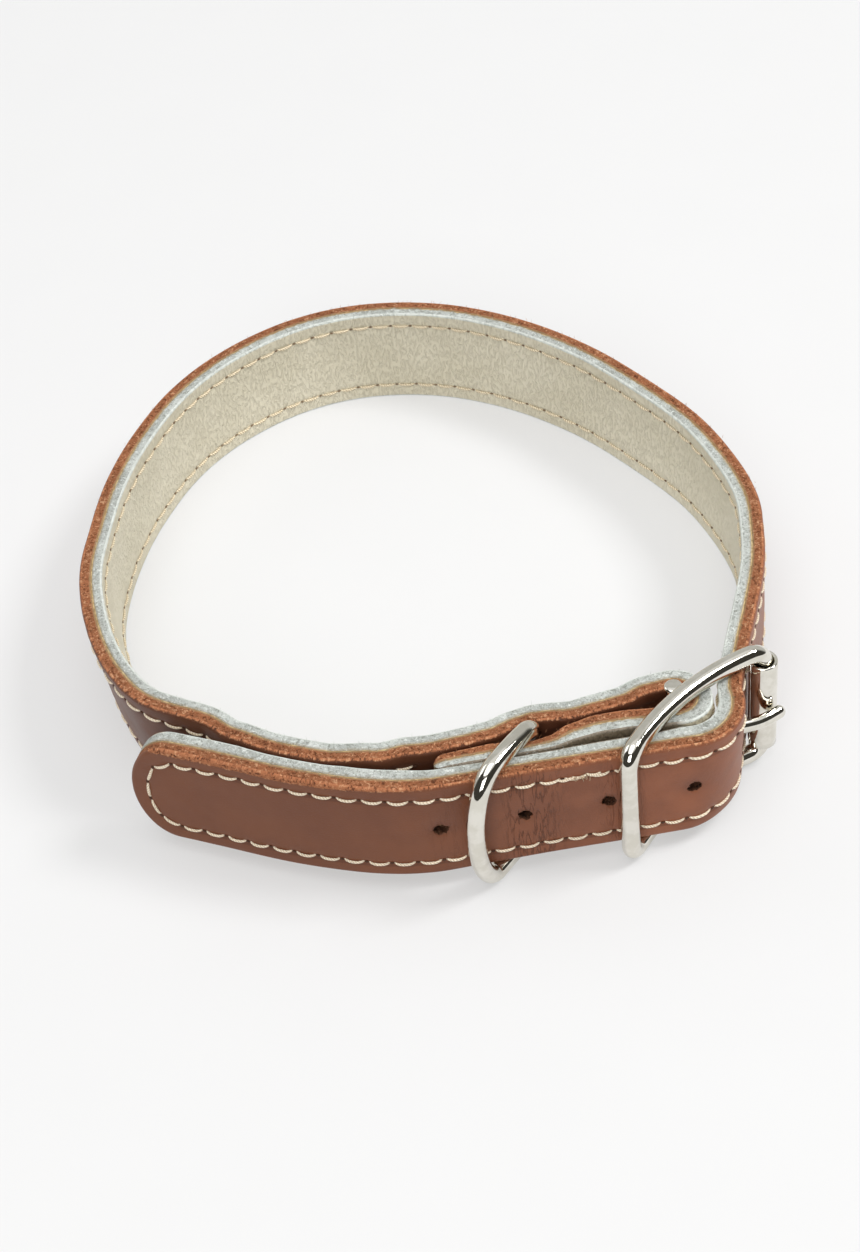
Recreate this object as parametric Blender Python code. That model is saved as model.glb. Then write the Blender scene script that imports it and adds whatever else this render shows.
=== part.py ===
"""A buckled dog collar, lying in its loop.

One leather strap with a sewn-in lining runs from its folded tab round the
buckle's centre bar, once round the neck and back through the buckle and the
lead ring to its rounded tip. The frame, roller, prong and lead ring are bent
from round wire. Metres, +Z up, the loop open upwards, the buckle at the front.
"""

import math

import bmesh
import bpy
from mathutils import Matrix, Vector

MM = 0.001
X_AXIS = Vector((1.0, 0.0, 0.0))
Y_AXIS = Vector((0.0, 1.0, 0.0))
Z_AXIS = Vector((0.0, 0.0, 1.0))

# Strap
STRAP_WIDTH = 25.0 * MM
LEATHER_THICKNESS = 2.6 * MM
LEATHER_EDGE_BEVEL = 0.6 * MM
LINING_THICKNESS = 2.1 * MM
LAYER_GAP = 0.3 * MM
SEAT_GAP = 0.3 * MM
TAB_LENGTH = 49.2 * MM
TAIL_LENGTH = 113.3 * MM
TIP_LENGTH = 9.0 * MM
TIP_FLAT = 5.0 * MM

# Loop, measured along the seam between leather and lining
LOOP_WIDTH = 140.6 * MM
LOOP_DEPTH = 153.0 * MM

# Holes
HOLE_DIAMETER = 3.4 * MM
HOLE_PITCH = 16.8 * MM
HOLE_COUNT = 5
SLOT_CLEARANCE = 0.4 * MM

# Hardware
WIRE_DIAMETER = 3.8 * MM
WIRE_BEND = 3.4 * MM
BAR_DIAMETER = 3.8 * MM
BAR_CLEARANCE = 0.3 * MM
BAR_END_STANDOUT = 0.9 * MM
WELD_BITE = 1.2 * MM
KEEPER_DISTANCE = 12.4 * MM
ROLLER_DISTANCE = 9.3 * MM
ROLLER_DIAMETER = 5.9 * MM
ROLLER_WALL = 0.75 * MM
ROLLER_END_GAP = 2.9 * MM
PRONG_DIAMETER = 2.6 * MM
PRONG_TURN = math.radians(29.0)
PRONG_REACH = 4.2 * MM
PRONG_TIP = 0.6 * MM
RING_SHARE = 0.585
RING_SWING = math.radians(44.0)
RING_NOSE = 5.8 * MM

# The strap's bend round the fold: where it starts, and how far its lower edge draws in
BEND_START = math.radians(2.0)
BEND_DRAW = 2.0 * MM

# Mesh fineness
PATH_PITCH = 3.4 * MM
FINE_PITCH = 0.5 * MM
ARC_STEP = math.radians(15.0)
TIP_STEPS = 6
BEND_STEPS = 4
NOSE_STEPS = 8
WIRE_SIDES = 10
PRONG_SIDES = 8
ROUND_SIDES = 24
HOLE_SIDES = 14
SHARP_ANGLE = math.radians(35.0)

HALF_LAYER_GAP = LAYER_GAP / 2
WIRE_RADIUS = WIRE_DIAMETER / 2
BAR_RADIUS = BAR_DIAMETER / 2
PRONG_RADIUS = PRONG_DIAMETER / 2
ROLLER_RADIUS = ROLLER_DIAMETER / 2
RING_DISTANCE = RING_SHARE * TAB_LENGTH

# The hardware stands on the surface, and carries the front of the strap
FRONT_LIFT = WIRE_DIAMETER + SEAT_GAP
MIDDLE_Z = FRONT_LIFT + STRAP_WIDTH / 2
WIRE_HALF_HEIGHT = STRAP_WIDTH / 2 + SEAT_GAP + WIRE_RADIUS
ROLLER_LENGTH = 2 * (WIRE_HALF_HEIGHT - ROLLER_END_GAP)

# Where the lift starts and is whole, as shares of half the loop's depth
LIFT_START = 0.18
LIFT_WHOLE = -0.74

# Strap seam round the neck, clockwise from the left front
# (share of half the width, share of half the depth,
#  how far the lower edge stands out, as a share of the strap's width)
LOOP_ROWS = (
    (-0.816, -0.574, -0.100),
    (-0.889, -0.463, -0.130),
    (-0.942, -0.332, -0.125),
    (-0.982, -0.153, -0.100),
    (-0.996, -0.015, -0.045),
    (-0.983, 0.120, 0.000),
    (-0.936, 0.317, 0.000),
    (-0.860, 0.499, 0.000),
    (-0.728, 0.705, 0.000),
    (-0.563, 0.853, 0.000),
    (-0.344, 0.963, 0.000),
    (-0.123, 1.000, 0.000),
    (0.129, 0.966, 0.000),
    (0.364, 0.863, 0.000),
    (0.583, 0.698, 0.000),
    (0.755, 0.504, 0.000),
    (0.891, 0.312, 0.000),
    (0.971, 0.116, 0.000),
    (1.000, -0.035, 0.000),
    (0.993, -0.153, 0.000),
    (0.968, -0.311, 0.000),
    (0.905, -0.515, 0.000),
    (0.862, -0.636, 0.000),
)

# Tail seam across the front, from the centre bar to beyond the tip
# (columns as above)
FRONT_ROWS = (
    (0.668, -0.950, 0.000),
    (0.487, -0.962, 0.000),
    (0.258, -0.976, 0.000),
    (0.072, -0.989, 0.010),
    (-0.072, -0.997, 0.020),
    (-0.215, -0.979, 0.030),
    (-0.430, -0.915, 0.045),
    (-0.645, -0.826, 0.055),
    (-0.831, -0.751, 0.050),
    (-0.960, -0.700, 0.050),
)

# How the folded tab lies between the strap's two runs, from the bar to its end
# (share of the tab's length, gap in front as a share of the wire,
#  share of the strap's thickness, gap behind as a share of the wire)
TAB_ROWS = (
    (0.00, 0.32, 1.00, 1.00),
    (0.10, 0.42, 1.00, 0.80),
    (0.22, 0.60, 1.00, 0.15),
    (0.32, 0.60, 1.00, 0.00),
    (0.42, 0.40, 0.92, 0.10),
    (0.52, 0.04, 0.70, 0.85),
    (0.58, 0.00, 0.62, 1.02),
    (0.64, 0.00, 0.62, 0.85),
    (0.76, 0.00, 0.86, 0.11),
    (0.88, 0.00, 0.80, 0.02),
    (1.00, 0.00, 0.74, 0.00),
)

# How the two runs close up beyond the tab's end
# (share of the free tail's length, share of the parting at the tab's end)
PARTING_ROWS = (
    (0.00, 1.00),
    (0.09, 0.98),
    (0.21, 0.55),
    (0.38, 0.20),
    (0.55, 0.20),
    (0.68, 0.40),
    (0.80, 0.95),
)

# The lead ring's upper side, from its bar to the front of its nose
# (share of the leg, share of the nose, height as a share of half the wire's height)
RING_ROWS = (
    (0.42, 0.00, 1.020),
    (0.71, 0.00, 1.034),
    (0.97, 0.00, 1.007),
    (1.00, 0.45, 0.844),
    (1.00, 0.78, 0.571),
    (1.00, 0.97, 0.272),
    (1.00, 1.00, 0.000),
)


def clear_scene():
    for item in list(bpy.data.objects):
        bpy.data.objects.remove(item, do_unlink=True)


def material(name, color, roughness, metallic):
    finish = bpy.data.materials.new(name)
    finish.use_nodes = True
    shader = finish.node_tree.nodes["Principled BSDF"]
    shader.inputs["Base Color"].default_value = (*color, 1.0)
    shader.inputs["Roughness"].default_value = roughness
    shader.inputs["Metallic"].default_value = metallic
    return finish


def nickel(name):
    return material(name, (0.78, 0.76, 0.72), 0.2, 1.0)


def smoothstep(share):
    share = min(max(share, 0.0), 1.0)
    return share * share * (3 - 2 * share)


def lift_at(y):
    """Height of the strap's lower edge: flat at the back, carried at the front."""
    half = LOOP_DEPTH / 2
    return FRONT_LIFT * smoothstep((LIFT_START * half - y) / ((LIFT_START - LIFT_WHOLE) * half))


def spline(knots, pitch):
    """Centripetal Catmull-Rom curve through the knots, in steps of about one pitch."""
    first = knots[0] * 2 - knots[1]
    last = knots[-1] * 2 - knots[-2]
    points = [first, *knots, last]
    curve = []
    for a, b, c, d in zip(points, points[1:], points[2:], points[3:]):
        t1 = max((b - a).length, 1e-9) ** 0.5
        t2 = t1 + (c - b).length ** 0.5
        t3 = t2 + max((d - c).length, 1e-9) ** 0.5
        steps = max(1, round((c - b).length / pitch))
        for step in range(steps):
            t = t1 + (t2 - t1) * step / steps
            ab = a * ((t1 - t) / t1) + b * (t / t1)
            bc = b * ((t2 - t) / (t2 - t1)) + c * ((t - t1) / (t2 - t1))
            cd = c * ((t3 - t) / (t3 - t2)) + d * ((t - t2) / (t3 - t2))
            abc = ab * ((t2 - t) / t2) + bc * (t / t2)
            bcd = bc * ((t3 - t) / (t3 - t1)) + cd * ((t - t1) / (t3 - t1))
            curve.append(abc * ((t2 - t) / (t2 - t1)) + bcd * ((t - t1) / (t2 - t1)))
    curve.append(knots[-1])
    return curve


def table_value(rows, share, column):
    """A table's column at a share of its length, eased from row to row."""
    for low, high in zip(rows, rows[1:]):
        if share <= high[0]:
            part = smoothstep((share - low[0]) / (high[0] - low[0]))
            return low[column] + (high[column] - low[column]) * part
    return rows[-1][column]


def seam_point(row):
    """A seam point: its place in plan, with the lower edge's stand-out as its z."""
    return Vector((row[0] * LOOP_WIDTH / 2, row[1] * LOOP_DEPTH / 2, row[2] * STRAP_WIDTH))


def at_height(point, z):
    return Vector((point.x, point.y, z))


def heading(angle):
    return Vector((math.cos(angle), math.sin(angle), 0.0))


def angle_of(direction):
    return math.atan2(direction.y, direction.x)


def left_of(direction):
    return Vector((-direction.y, direction.x, 0.0)).normalized()


class Curve:
    """A fine seam curve that is read by the distance along it."""

    def __init__(self, points):
        self.points = points
        self.lengths = [0.0]
        for a, b in zip(points, points[1:]):
            self.lengths.append(self.lengths[-1] + (b - a).length)

    def at(self, distance):
        """The point at a distance, and the direction square to its left."""
        index = 0
        while index < len(self.points) - 2 and self.lengths[index + 1] < distance:
            index += 1
        a, b = self.points[index], self.points[index + 1]
        share = (distance - self.lengths[index]) / (b - a).length
        before = self.points[max(index - 1, 0)]
        after = self.points[min(index + 2, len(self.points) - 1)]
        return a.lerp(b, share), left_of(after - before)


FRONT = Curve(spline([seam_point(row) for row in FRONT_ROWS], FINE_PITCH))

# Depths behind the tail's seam, and radii round the centre bar
TAIL_BACK = HALF_LAYER_GAP + LINING_THICKNESS
FOLD_RADIUS = BAR_RADIUS + BAR_CLEARANCE + LEATHER_THICKNESS + HALF_LAYER_GAP
FOLD_OUTSIDE = FOLD_RADIUS + HALF_LAYER_GAP + LINING_THICKNESS


def tab_value(distance, column):
    return table_value(TAB_ROWS, distance / TAB_LENGTH, column)


def front_gap(distance):
    return SEAT_GAP + tab_value(distance, 1) * WIRE_DIAMETER


def back_gap(distance):
    """Room between tab and strap, which the bar and the lead ring's wire hold open."""
    opened = BAR_DIAMETER if distance < TAB_LENGTH / 4 else WIRE_DIAMETER
    return SEAT_GAP + tab_value(distance, 3) * (opened + BAR_CLEARANCE)


def tab_depth(distance):
    lining = LINING_THICKNESS + HALF_LAYER_GAP
    return TAIL_BACK + front_gap(distance) + tab_value(distance, 2) * lining


def tab_back_depth(distance):
    leather = LEATHER_THICKNESS + HALF_LAYER_GAP
    return tab_depth(distance) + tab_value(distance, 2) * leather


def parting(distance):
    """Room that the tab and its gaps take between the strap's two runs."""
    if distance <= TAB_LENGTH:
        return tab_back_depth(distance) + back_gap(distance) - TAIL_BACK
    share = (distance - TAB_LENGTH) / (TAIL_LENGTH - TAB_LENGTH)
    return parting(TAB_LENGTH) * table_value(PARTING_ROWS, share, 1)


def inner_depth(distance):
    return TAIL_BACK + parting(distance) + LEATHER_THICKNESS + HALF_LAYER_GAP


def behind_tail(distance, depth):
    point, outward = FRONT.at(distance)
    return point - outward * depth


# The centre bar, the tail's bend round it, and where the inner run leaves the tail
BEND_RADIUS = tab_back_depth(0.0) + BAR_CLEARANCE + BAR_RADIUS
BAR_CENTRE = at_height(behind_tail(0.0, BEND_RADIUS), 0.0)
FRONT_ANGLE = angle_of(FRONT.at(0.0)[1])
INNER_END = TAB_LENGTH + PARTING_ROWS[-1][0] * (TAIL_LENGTH - TAB_LENGTH)


def arc(centre, radius, start, end):
    """Points round an arc, both ends included."""
    steps = max(2, round(abs(end - start) / ARC_STEP))
    return [centre + heading(start + (end - start) * step / steps) * radius for step in range(steps + 1)]


def stations(start, end):
    steps = max(1, round(abs(end - start) / PATH_PITCH))
    return [start + (end - start) * step / steps for step in range(steps + 1)]


def nearest(points, target):
    return min(range(len(points)), key=lambda index: (points[index] - target).length)


def tip_stations():
    """Distances along the tail at which its rounded tip is cut, towards the end."""
    least = math.asin(TIP_FLAT / STRAP_WIDTH)
    angles = [math.pi / 2 - (math.pi / 2 - least) * step / TIP_STEPS for step in range(TIP_STEPS + 1)]
    return [TAIL_LENGTH - TIP_LENGTH * (1 - math.cos(angle)) for angle in angles]


def tip_half_width(distance):
    share = min((TAIL_LENGTH - distance) / TIP_LENGTH, 1.0)
    return max(TIP_FLAT / 2, STRAP_WIDTH / 2 * math.sqrt(1 - (1 - share) ** 2))


def neck_run():
    """The seam from the left front round the neck, and its bend round the fold."""
    lead = [behind_tail(distance, inner_depth(distance))
            for distance in (INNER_END - 2 * PATH_PITCH, INNER_END - PATH_PITCH, INNER_END)]
    loop = [seam_point(row) for row in LOOP_ROWS]
    bend = arc(BAR_CENTRE, BEND_RADIUS, BEND_START, FRONT_ANGLE)
    for index, point in enumerate(bend):
        point.z = -BEND_DRAW * math.sin(math.pi * index / (len(bend) - 1))
    run = spline([*lead, *loop, *bend[:2]], PATH_PITCH)
    return run[nearest(run, lead[-1]):nearest(run, bend[0])], bend


def strap_route():
    """Seam points from the tab's end to the tip, each with its share of the full
    thickness and its half width."""
    full = STRAP_WIDTH / 2
    route = []
    for distance in reversed(stations(0.0, TAB_LENGTH)):
        point = behind_tail(distance, tab_depth(distance))
        route.append((point, tab_value(distance, 2), full))
    for point in arc(BAR_CENTRE, FOLD_RADIUS, FRONT_ANGLE, FRONT_ANGLE + math.pi)[1:-1]:
        route.append((point, 1.0, full))
    for distance in stations(0.0, INNER_END)[:-1]:
        route.append((behind_tail(distance, inner_depth(distance)), 1.0, full))
    run, bend = neck_run()
    for point in [*run, *bend[:-1]]:
        route.append((point, 1.0, full))
    for distance in [*stations(0.0, TAIL_LENGTH - TIP_LENGTH)[:-1], *tip_stations()]:
        route.append((FRONT.at(distance)[0], 1.0, tip_half_width(distance)))
    return route


def new_object(name, builder, finish):
    mesh = bpy.data.meshes.new(name)
    builder.to_mesh(mesh)
    builder.free()
    mesh.shade_smooth()
    mesh.set_sharp_from_angle(angle=SHARP_ANGLE)
    if finish:
        mesh.materials.append(finish)
    item = bpy.data.objects.new(name, mesh)
    bpy.context.scene.collection.objects.link(item)
    return item


def cutter(name, builder):
    item = new_object(name, builder, None)
    item.hide_render = True
    item.display_type = "WIRE"
    return item


def boolean(item, other, operation):
    modifier = item.modifiers.new(other.name, "BOOLEAN")
    modifier.operation = operation
    modifier.solver = "EXACT"
    modifier.object = other


def add_skin(builder, rings, closed=False):
    """A solid through equal rings of points, capped unless it closes on itself."""
    loops = [[builder.verts.new(point) for point in ring] for ring in rings]
    pairs = list(zip(loops, loops[1:]))
    if closed:
        pairs.append((loops[-1], loops[0]))
    faces = []
    for first, second in pairs:
        for index in range(len(first)):
            after = (index + 1) % len(first)
            faces.append(builder.faces.new(
                (first[index], first[after], second[after], second[index])))
    if not closed:
        faces.append(builder.faces.new(list(reversed(loops[0]))))
        faces.append(builder.faces.new(loops[-1]))
    bmesh.ops.recalc_face_normals(builder, faces=faces)


def skin(rings, closed=False):
    builder = bmesh.new()
    add_skin(builder, rings, closed)
    return builder


def circle(centre, across, up, radius, sides):
    """Points round a circle in the plane of two unit directions."""
    turns = [2 * math.pi * (step + 0.5) / sides for step in range(sides)]
    return [centre + across * (radius * math.cos(t)) + up * (radius * math.sin(t)) for t in turns]


def level_circle(centre, z, radius, sides):
    return circle(at_height(centre, z), X_AXIS, Y_AXIS, radius, sides)


def upright_cylinder(centre, radius, low, high, sides):
    return skin([level_circle(centre, z, radius, sides) for z in (low, high)])


def layer_rings(route, section):
    """Rings of one layer; section gives (offset to the left, height) pairs."""
    rings = []
    for index, (point, share, half_width) in enumerate(route):
        before = route[max(index - 1, 0)][0]
        after = route[min(index + 1, len(route) - 1)][0]
        side = left_of(after - before)
        middle = lift_at(point.y) + STRAP_WIDTH / 2
        ring = []
        for offset, height in section(share, half_width):
            leaned = offset - point.z * height / STRAP_WIDTH
            ring.append(at_height(point + side * leaned, middle + height))
        rings.append(ring)
    return rings


def leather_section(share, half):
    near = HALF_LAYER_GAP * share
    far = near + LEATHER_THICKNESS * share
    bevel = LEATHER_EDGE_BEVEL * share
    return (
        (near, -half), (far - bevel, -half), (far, -half + bevel),
        (far, half - bevel), (far - bevel, half), (near, half),
    )


def lining_section(share, half):
    near = -HALF_LAYER_GAP * share
    far = near - LINING_THICKNESS * share
    return ((near, -half), (far, -half), (far, half), (near, half))


def hole_places():
    """Each hole's middle on the seam and its outward direction, the prong's first."""
    shank = (prong_bend() - BAR_CENTRE).normalized()
    places = [(BAR_CENTRE + shank * BEND_RADIUS, shank)]
    flesh_radius = BEND_RADIUS + HALF_LAYER_GAP
    bend_length = flesh_radius * (angle_of(shank) - FRONT_ANGLE)
    for index in range(1, HOLE_COUNT):
        distance = HOLE_PITCH * index - bend_length
        if distance >= 0.0:
            places.append(FRONT.at(distance))
        else:
            outward = heading(FRONT_ANGLE - distance / flesh_radius)
            places.append((BAR_CENTRE + outward * BEND_RADIUS, outward))
    return places


def hole_cutters():
    """Punches through the tail, which stop in the gap behind it."""
    builder = bmesh.new()
    for point, outward in hole_places():
        ends = []
        for depth in (-(TAIL_BACK + SEAT_GAP / 2), 2 * LEATHER_THICKNESS):
            middle = at_height(point + outward * depth, MIDDLE_Z)
            ends.append(circle(middle, left_of(outward), Z_AXIS, HOLE_DIAMETER / 2, HOLE_SIDES))
        add_skin(builder, ends)
    return cutter("hole_cutters", builder)


def slot_cutter():
    """The slot through the fold, in which the prong's eye turns."""
    half = PRONG_RADIUS + SLOT_CLEARANCE
    reach = (FOLD_OUTSIDE + BEND_RADIUS - TAIL_BACK) / 2
    return cutter("slot_cutter", upright_cylinder(
        BAR_CENTRE, reach, MIDDLE_Z - half, MIDDLE_Z + half, ROUND_SIDES))


def make_strap():
    route = strap_route()
    leather = new_object(
        "strap_leather", skin(layer_rings(route, leather_section)),
        material("brown_leather", (0.30, 0.105, 0.05), 0.5, 0.0))
    lining = new_object(
        "strap_lining", skin(layer_rings(route, lining_section)),
        material("cream_leather", (0.72, 0.69, 0.58), 0.65, 0.0))
    for cut in (hole_cutters(), slot_cutter()):
        boolean(leather, cut, "DIFFERENCE")
        boolean(lining, cut, "DIFFERENCE")


def outside_tail(point, outward, radius):
    """The axis of a round piece that lies against the strap's outer face."""
    stand_off = HALF_LAYER_GAP + LEATHER_THICKNESS + SEAT_GAP + radius
    return at_height(point + outward * stand_off, 0.0)


def keeper_centre():
    return outside_tail(*FRONT.at(KEEPER_DISTANCE), WIRE_RADIUS)


def roller_centre():
    """The roller's axis, where the strap comes down to the bend."""
    run, bend = neck_run()
    upwards = Curve([bend[0], *reversed(run)])
    point, inward = upwards.at(ROLLER_DISTANCE)
    return outside_tail(point, -inward, ROLLER_RADIUS)


def circle_through(a, b, c):
    """Centre and radius of the circle through three plan points."""
    ab, ac = b - a, c - a
    cross = 2 * (ab.x * ac.y - ab.y * ac.x)
    offset = Vector((
        ac.y * ab.length_squared - ab.y * ac.length_squared,
        ab.x * ac.length_squared - ac.x * ab.length_squared,
        0.0,
    )) / cross
    return a + offset, offset.length


def corner(x, z, start):
    """A quarter bend of the wire: (distance, height) points, turning clockwise."""
    angles = [start - math.pi / 2 * step / BEND_STEPS for step in range(BEND_STEPS + 1)]
    return [(x + WIRE_BEND * math.cos(a), z + WIRE_BEND * math.sin(a)) for a in angles]


def bar_corners():
    """The lower and upper bends at a wire loop's straight bar."""
    level = WIRE_HALF_HEIGHT - WIRE_BEND
    return corner(WIRE_BEND, -level, math.pi * 1.5) + corner(WIRE_BEND, level, math.pi)


def with_long_runs_divided(points, longest):
    divided = []
    for (x0, z0), (x1, z1) in zip(points, points[1:] + points[:1]):
        steps = max(1, math.ceil(math.hypot(x1 - x0, z1 - z0) / longest))
        for step in range(steps):
            divided.append((x0 + (x1 - x0) * step / steps, z0 + (z1 - z0) * step / steps))
    return divided


def wire_loop(outline, wall):
    """A closed wire whose outline lies on an upright wall.

    wall gives, for a distance, the plan point and the direction square to the wall.
    """
    spine = []
    for distance, height in with_long_runs_divided(outline, WIRE_DIAMETER):
        point, square = wall(distance)
        spine.append((at_height(point, MIDDLE_Z + height), square))
    rings = []
    for index, (centre, square) in enumerate(spine):
        ahead = spine[(index + 1) % len(spine)][0] - spine[index - 1][0]
        across = ahead.cross(square).normalized()
        rings.append(circle(centre, square, across, WIRE_RADIUS, WIRE_SIDES))
    return skin(rings, closed=True)


def make_frame():
    """The buckle's frame: two arched sides, keeper and roller ends, and the bar."""
    keeper, roller = keeper_centre(), roller_centre()
    away = -left_of(roller - keeper)
    weld = BAR_CENTRE + away * (BAR_RADIUS + WIRE_RADIUS - WELD_BITE)
    centre, radius = circle_through(keeper, weld, roller)
    start = angle_of(keeper - centre)
    turn = math.remainder(angle_of(roller - centre) - start, 2 * math.pi)
    length = abs(turn) * radius

    def wall(distance):
        spoke = heading(start + turn * distance / length)
        return centre + spoke * radius, spoke

    level = WIRE_HALF_HEIGHT - WIRE_BEND
    far = length - WIRE_BEND
    outline = bar_corners() + corner(far, level, math.pi / 2) + corner(far, -level, 0.0)
    frame = new_object("buckle_frame", wire_loop(outline, wall), nickel("frame_nickel"))
    bar_half = WIRE_HALF_HEIGHT + BAR_END_STANDOUT
    bar = cutter("centre_bar", upright_cylinder(
        BAR_CENTRE, BAR_RADIUS, MIDDLE_Z - bar_half, MIDDLE_Z + bar_half, ROUND_SIDES))
    boolean(frame, bar, "UNION")


def make_roller():
    """A rolled tube that turns on the frame's end bar."""
    centre = roller_centre()
    half = ROLLER_LENGTH / 2
    inside = ROLLER_RADIUS - ROLLER_WALL
    profile = ((ROLLER_RADIUS, -half), (ROLLER_RADIUS, half), (inside, half), (inside, -half))
    rings = [level_circle(centre, MIDDLE_Z + z, radius, ROUND_SIDES) for radius, z in profile]
    new_object("buckle_roller", skin(rings, closed=True), nickel("roller_nickel"))


def prong_bend():
    """Where the prong turns, before it lies across the roller."""
    along = heading(PRONG_TURN)
    foot = roller_centre() - left_of(along) * (ROLLER_RADIUS + SEAT_GAP + PRONG_RADIUS)
    return foot - along * PRONG_REACH


def make_prong():
    """A wire eye round the centre bar, and a shank through the tail to the roller."""
    eye_radius = BAR_RADIUS + BAR_CLEARANCE + PRONG_RADIUS
    rings = []
    for step in range(ROUND_SIDES):
        spoke = heading(2 * math.pi * step / ROUND_SIDES)
        middle = at_height(BAR_CENTRE + spoke * eye_radius, MIDDLE_Z)
        rings.append(circle(middle, spoke, Z_AXIS, PRONG_RADIUS, PRONG_SIDES))
    prong = new_object("buckle_prong", skin(rings, closed=True), nickel("prong_nickel"))

    bend = prong_bend()
    shank, along = (bend - BAR_CENTRE).normalized(), heading(PRONG_TURN)
    root = BAR_CENTRE + shank * eye_radius
    tip = bend + along * (PRONG_REACH + PRONG_TIP)
    route = spline([root, bend - shank * PRONG_RADIUS, bend + along * PRONG_RADIUS, tip], PRONG_RADIUS)
    ends = [(point, PRONG_RADIUS) for point in route]
    for angle in (math.radians(30), math.radians(60)):
        reach = PRONG_RADIUS * math.sin(angle)
        ends.append((tip + along * reach, PRONG_RADIUS * math.cos(angle)))
    rings = []
    for index, (point, radius) in enumerate(ends):
        after = ends[min(index + 1, len(ends) - 1)][0]
        side = left_of(after - ends[max(index - 1, 0)][0])
        rings.append(circle(at_height(point, MIDDLE_Z), side, Z_AXIS, radius, PRONG_SIDES))
    boolean(prong, cutter("prong_shank", skin(rings)), "UNION")


def make_ring():
    """The lead ring: a straight bar held in the fold, and a D round both runs."""
    point, outward = FRONT.at(RING_DISTANCE)
    depth = tab_back_depth(RING_DISTANCE) + back_gap(RING_DISTANCE) / 2
    bar = at_height(point - outward * depth, 0.0)
    reach = depth + HALF_LAYER_GAP + LEATHER_THICKNESS
    leg = reach / math.cos(RING_SWING) + SEAT_GAP
    swing = heading(angle_of(outward) - RING_SWING)
    square = left_of(swing)
    outline = bar_corners()
    upper = [Vector((*outline[-1], 0.0))]
    for leg_share, nose_share, height_share in RING_ROWS:
        distance = leg * leg_share + RING_NOSE * nose_share
        upper.append(Vector((distance, WIRE_HALF_HEIGHT * height_share, 0.0)))
    outline += [(point.x, point.y) for point in spline(upper, WIRE_RADIUS)[1:]]
    for step in range(1, NOSE_STEPS + 1):
        angle = -math.pi / 2 * step / NOSE_STEPS
        outline.append((leg + RING_NOSE * math.cos(angle), WIRE_HALF_HEIGHT * math.sin(angle)))
    ring = wire_loop(outline, lambda distance: (bar + swing * distance, square))
    new_object("lead_ring", ring, nickel("ring_nickel"))


def centre_on_floor():
    """Moves everything until the whole collar's box is centred over the origin."""
    items = bpy.data.objects
    points = [vertex.co for item in items if not item.hide_render for vertex in item.data.vertices]
    middle = Vector([(min(values) + max(values)) / 2 for values in zip(*points)])
    for item in items:
        item.data.transform(Matrix.Translation(-at_height(middle, 0.0)))


def main():
    clear_scene()
    make_strap()
    make_frame()
    make_roller()
    make_prong()
    make_ring()
    centre_on_floor()


main()
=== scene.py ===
# %% [markdown]
# # A lined leather dog collar, lying buckled in its loop
#
# The collar is one long strap of tan leather with a soft off-white lining glued and sewn
# behind it. It folds round the centre bar of a wire buckle, goes once round the neck,
# comes back through the buckle and a D-shaped lead ring, and ends in a rounded tip.
# This lesson dresses the plain model of the collar with the surfaces of the real one.
# Every piece is laid along one line, the seam between leather and lining, because that
# is how the real strap is made: flat, stitched, punched, and only then bent.

import bisect
import math
from collections import namedtuple

import bmesh
import bpy
from mathutils import Matrix, Vector, kdtree, noise


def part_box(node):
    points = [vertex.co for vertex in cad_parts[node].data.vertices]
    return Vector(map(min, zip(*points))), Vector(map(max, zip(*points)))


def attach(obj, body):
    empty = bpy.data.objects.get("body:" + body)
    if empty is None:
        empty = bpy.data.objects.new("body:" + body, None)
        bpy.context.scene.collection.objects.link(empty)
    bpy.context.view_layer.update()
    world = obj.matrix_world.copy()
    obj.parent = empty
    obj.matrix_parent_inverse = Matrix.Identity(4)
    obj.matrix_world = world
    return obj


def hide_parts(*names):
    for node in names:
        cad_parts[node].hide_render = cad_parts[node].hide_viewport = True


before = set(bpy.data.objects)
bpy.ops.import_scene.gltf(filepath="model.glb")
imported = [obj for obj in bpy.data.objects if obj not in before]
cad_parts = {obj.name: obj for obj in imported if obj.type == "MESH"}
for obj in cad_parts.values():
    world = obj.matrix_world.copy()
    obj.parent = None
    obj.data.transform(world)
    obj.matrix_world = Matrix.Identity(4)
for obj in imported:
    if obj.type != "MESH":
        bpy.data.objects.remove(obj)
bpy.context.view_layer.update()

# %% [markdown]
# ## The real sizes
#
# These are the sizes that the plain model was drawn from. The dressed strap has to lie
# exactly where the plain one does, so it repeats the same sizes and the same tables
# rather than reading points off the model.

# %% Sizes of strap and hardware
MM = 0.001
STRAP_WIDTH = 25.0 * MM
LEATHER_THICKNESS = 2.6 * MM
LINING_THICKNESS = 2.1 * MM
LAYER_GAP = 0.3 * MM
SEAT_GAP = 0.3 * MM
TAB_LENGTH = 49.2 * MM
TAIL_LENGTH = 113.3 * MM
TIP_LENGTH = 9.0 * MM
LOOP_WIDTH = 140.6 * MM
LOOP_DEPTH = 153.0 * MM
HOLE_DIAMETER = 3.4 * MM
HOLE_PITCH = 16.8 * MM
HOLE_COUNT = 5
SLOT_CLEARANCE = 0.4 * MM
WIRE_DIAMETER = 3.8 * MM
WIRE_BEND = 3.4 * MM
BAR_DIAMETER = 3.8 * MM
BAR_CLEARANCE = 0.3 * MM
BAR_END_STANDOUT = 0.9 * MM
WELD_BITE = 1.2 * MM
KEEPER_DISTANCE = 12.4 * MM
ROLLER_DISTANCE = 9.3 * MM
ROLLER_DIAMETER = 5.9 * MM
ROLLER_WALL = 0.75 * MM
ROLLER_END_GAP = 2.9 * MM
PRONG_DIAMETER = 2.6 * MM
PRONG_TURN = math.radians(29.0)
PRONG_REACH = 4.2 * MM
PRONG_TIP = 0.6 * MM
RING_SHARE = 0.585
RING_SWING = math.radians(44.0)
RING_NOSE = 5.8 * MM
BEND_START = math.radians(2.0)
BEND_DRAW = 2.0 * MM
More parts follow.
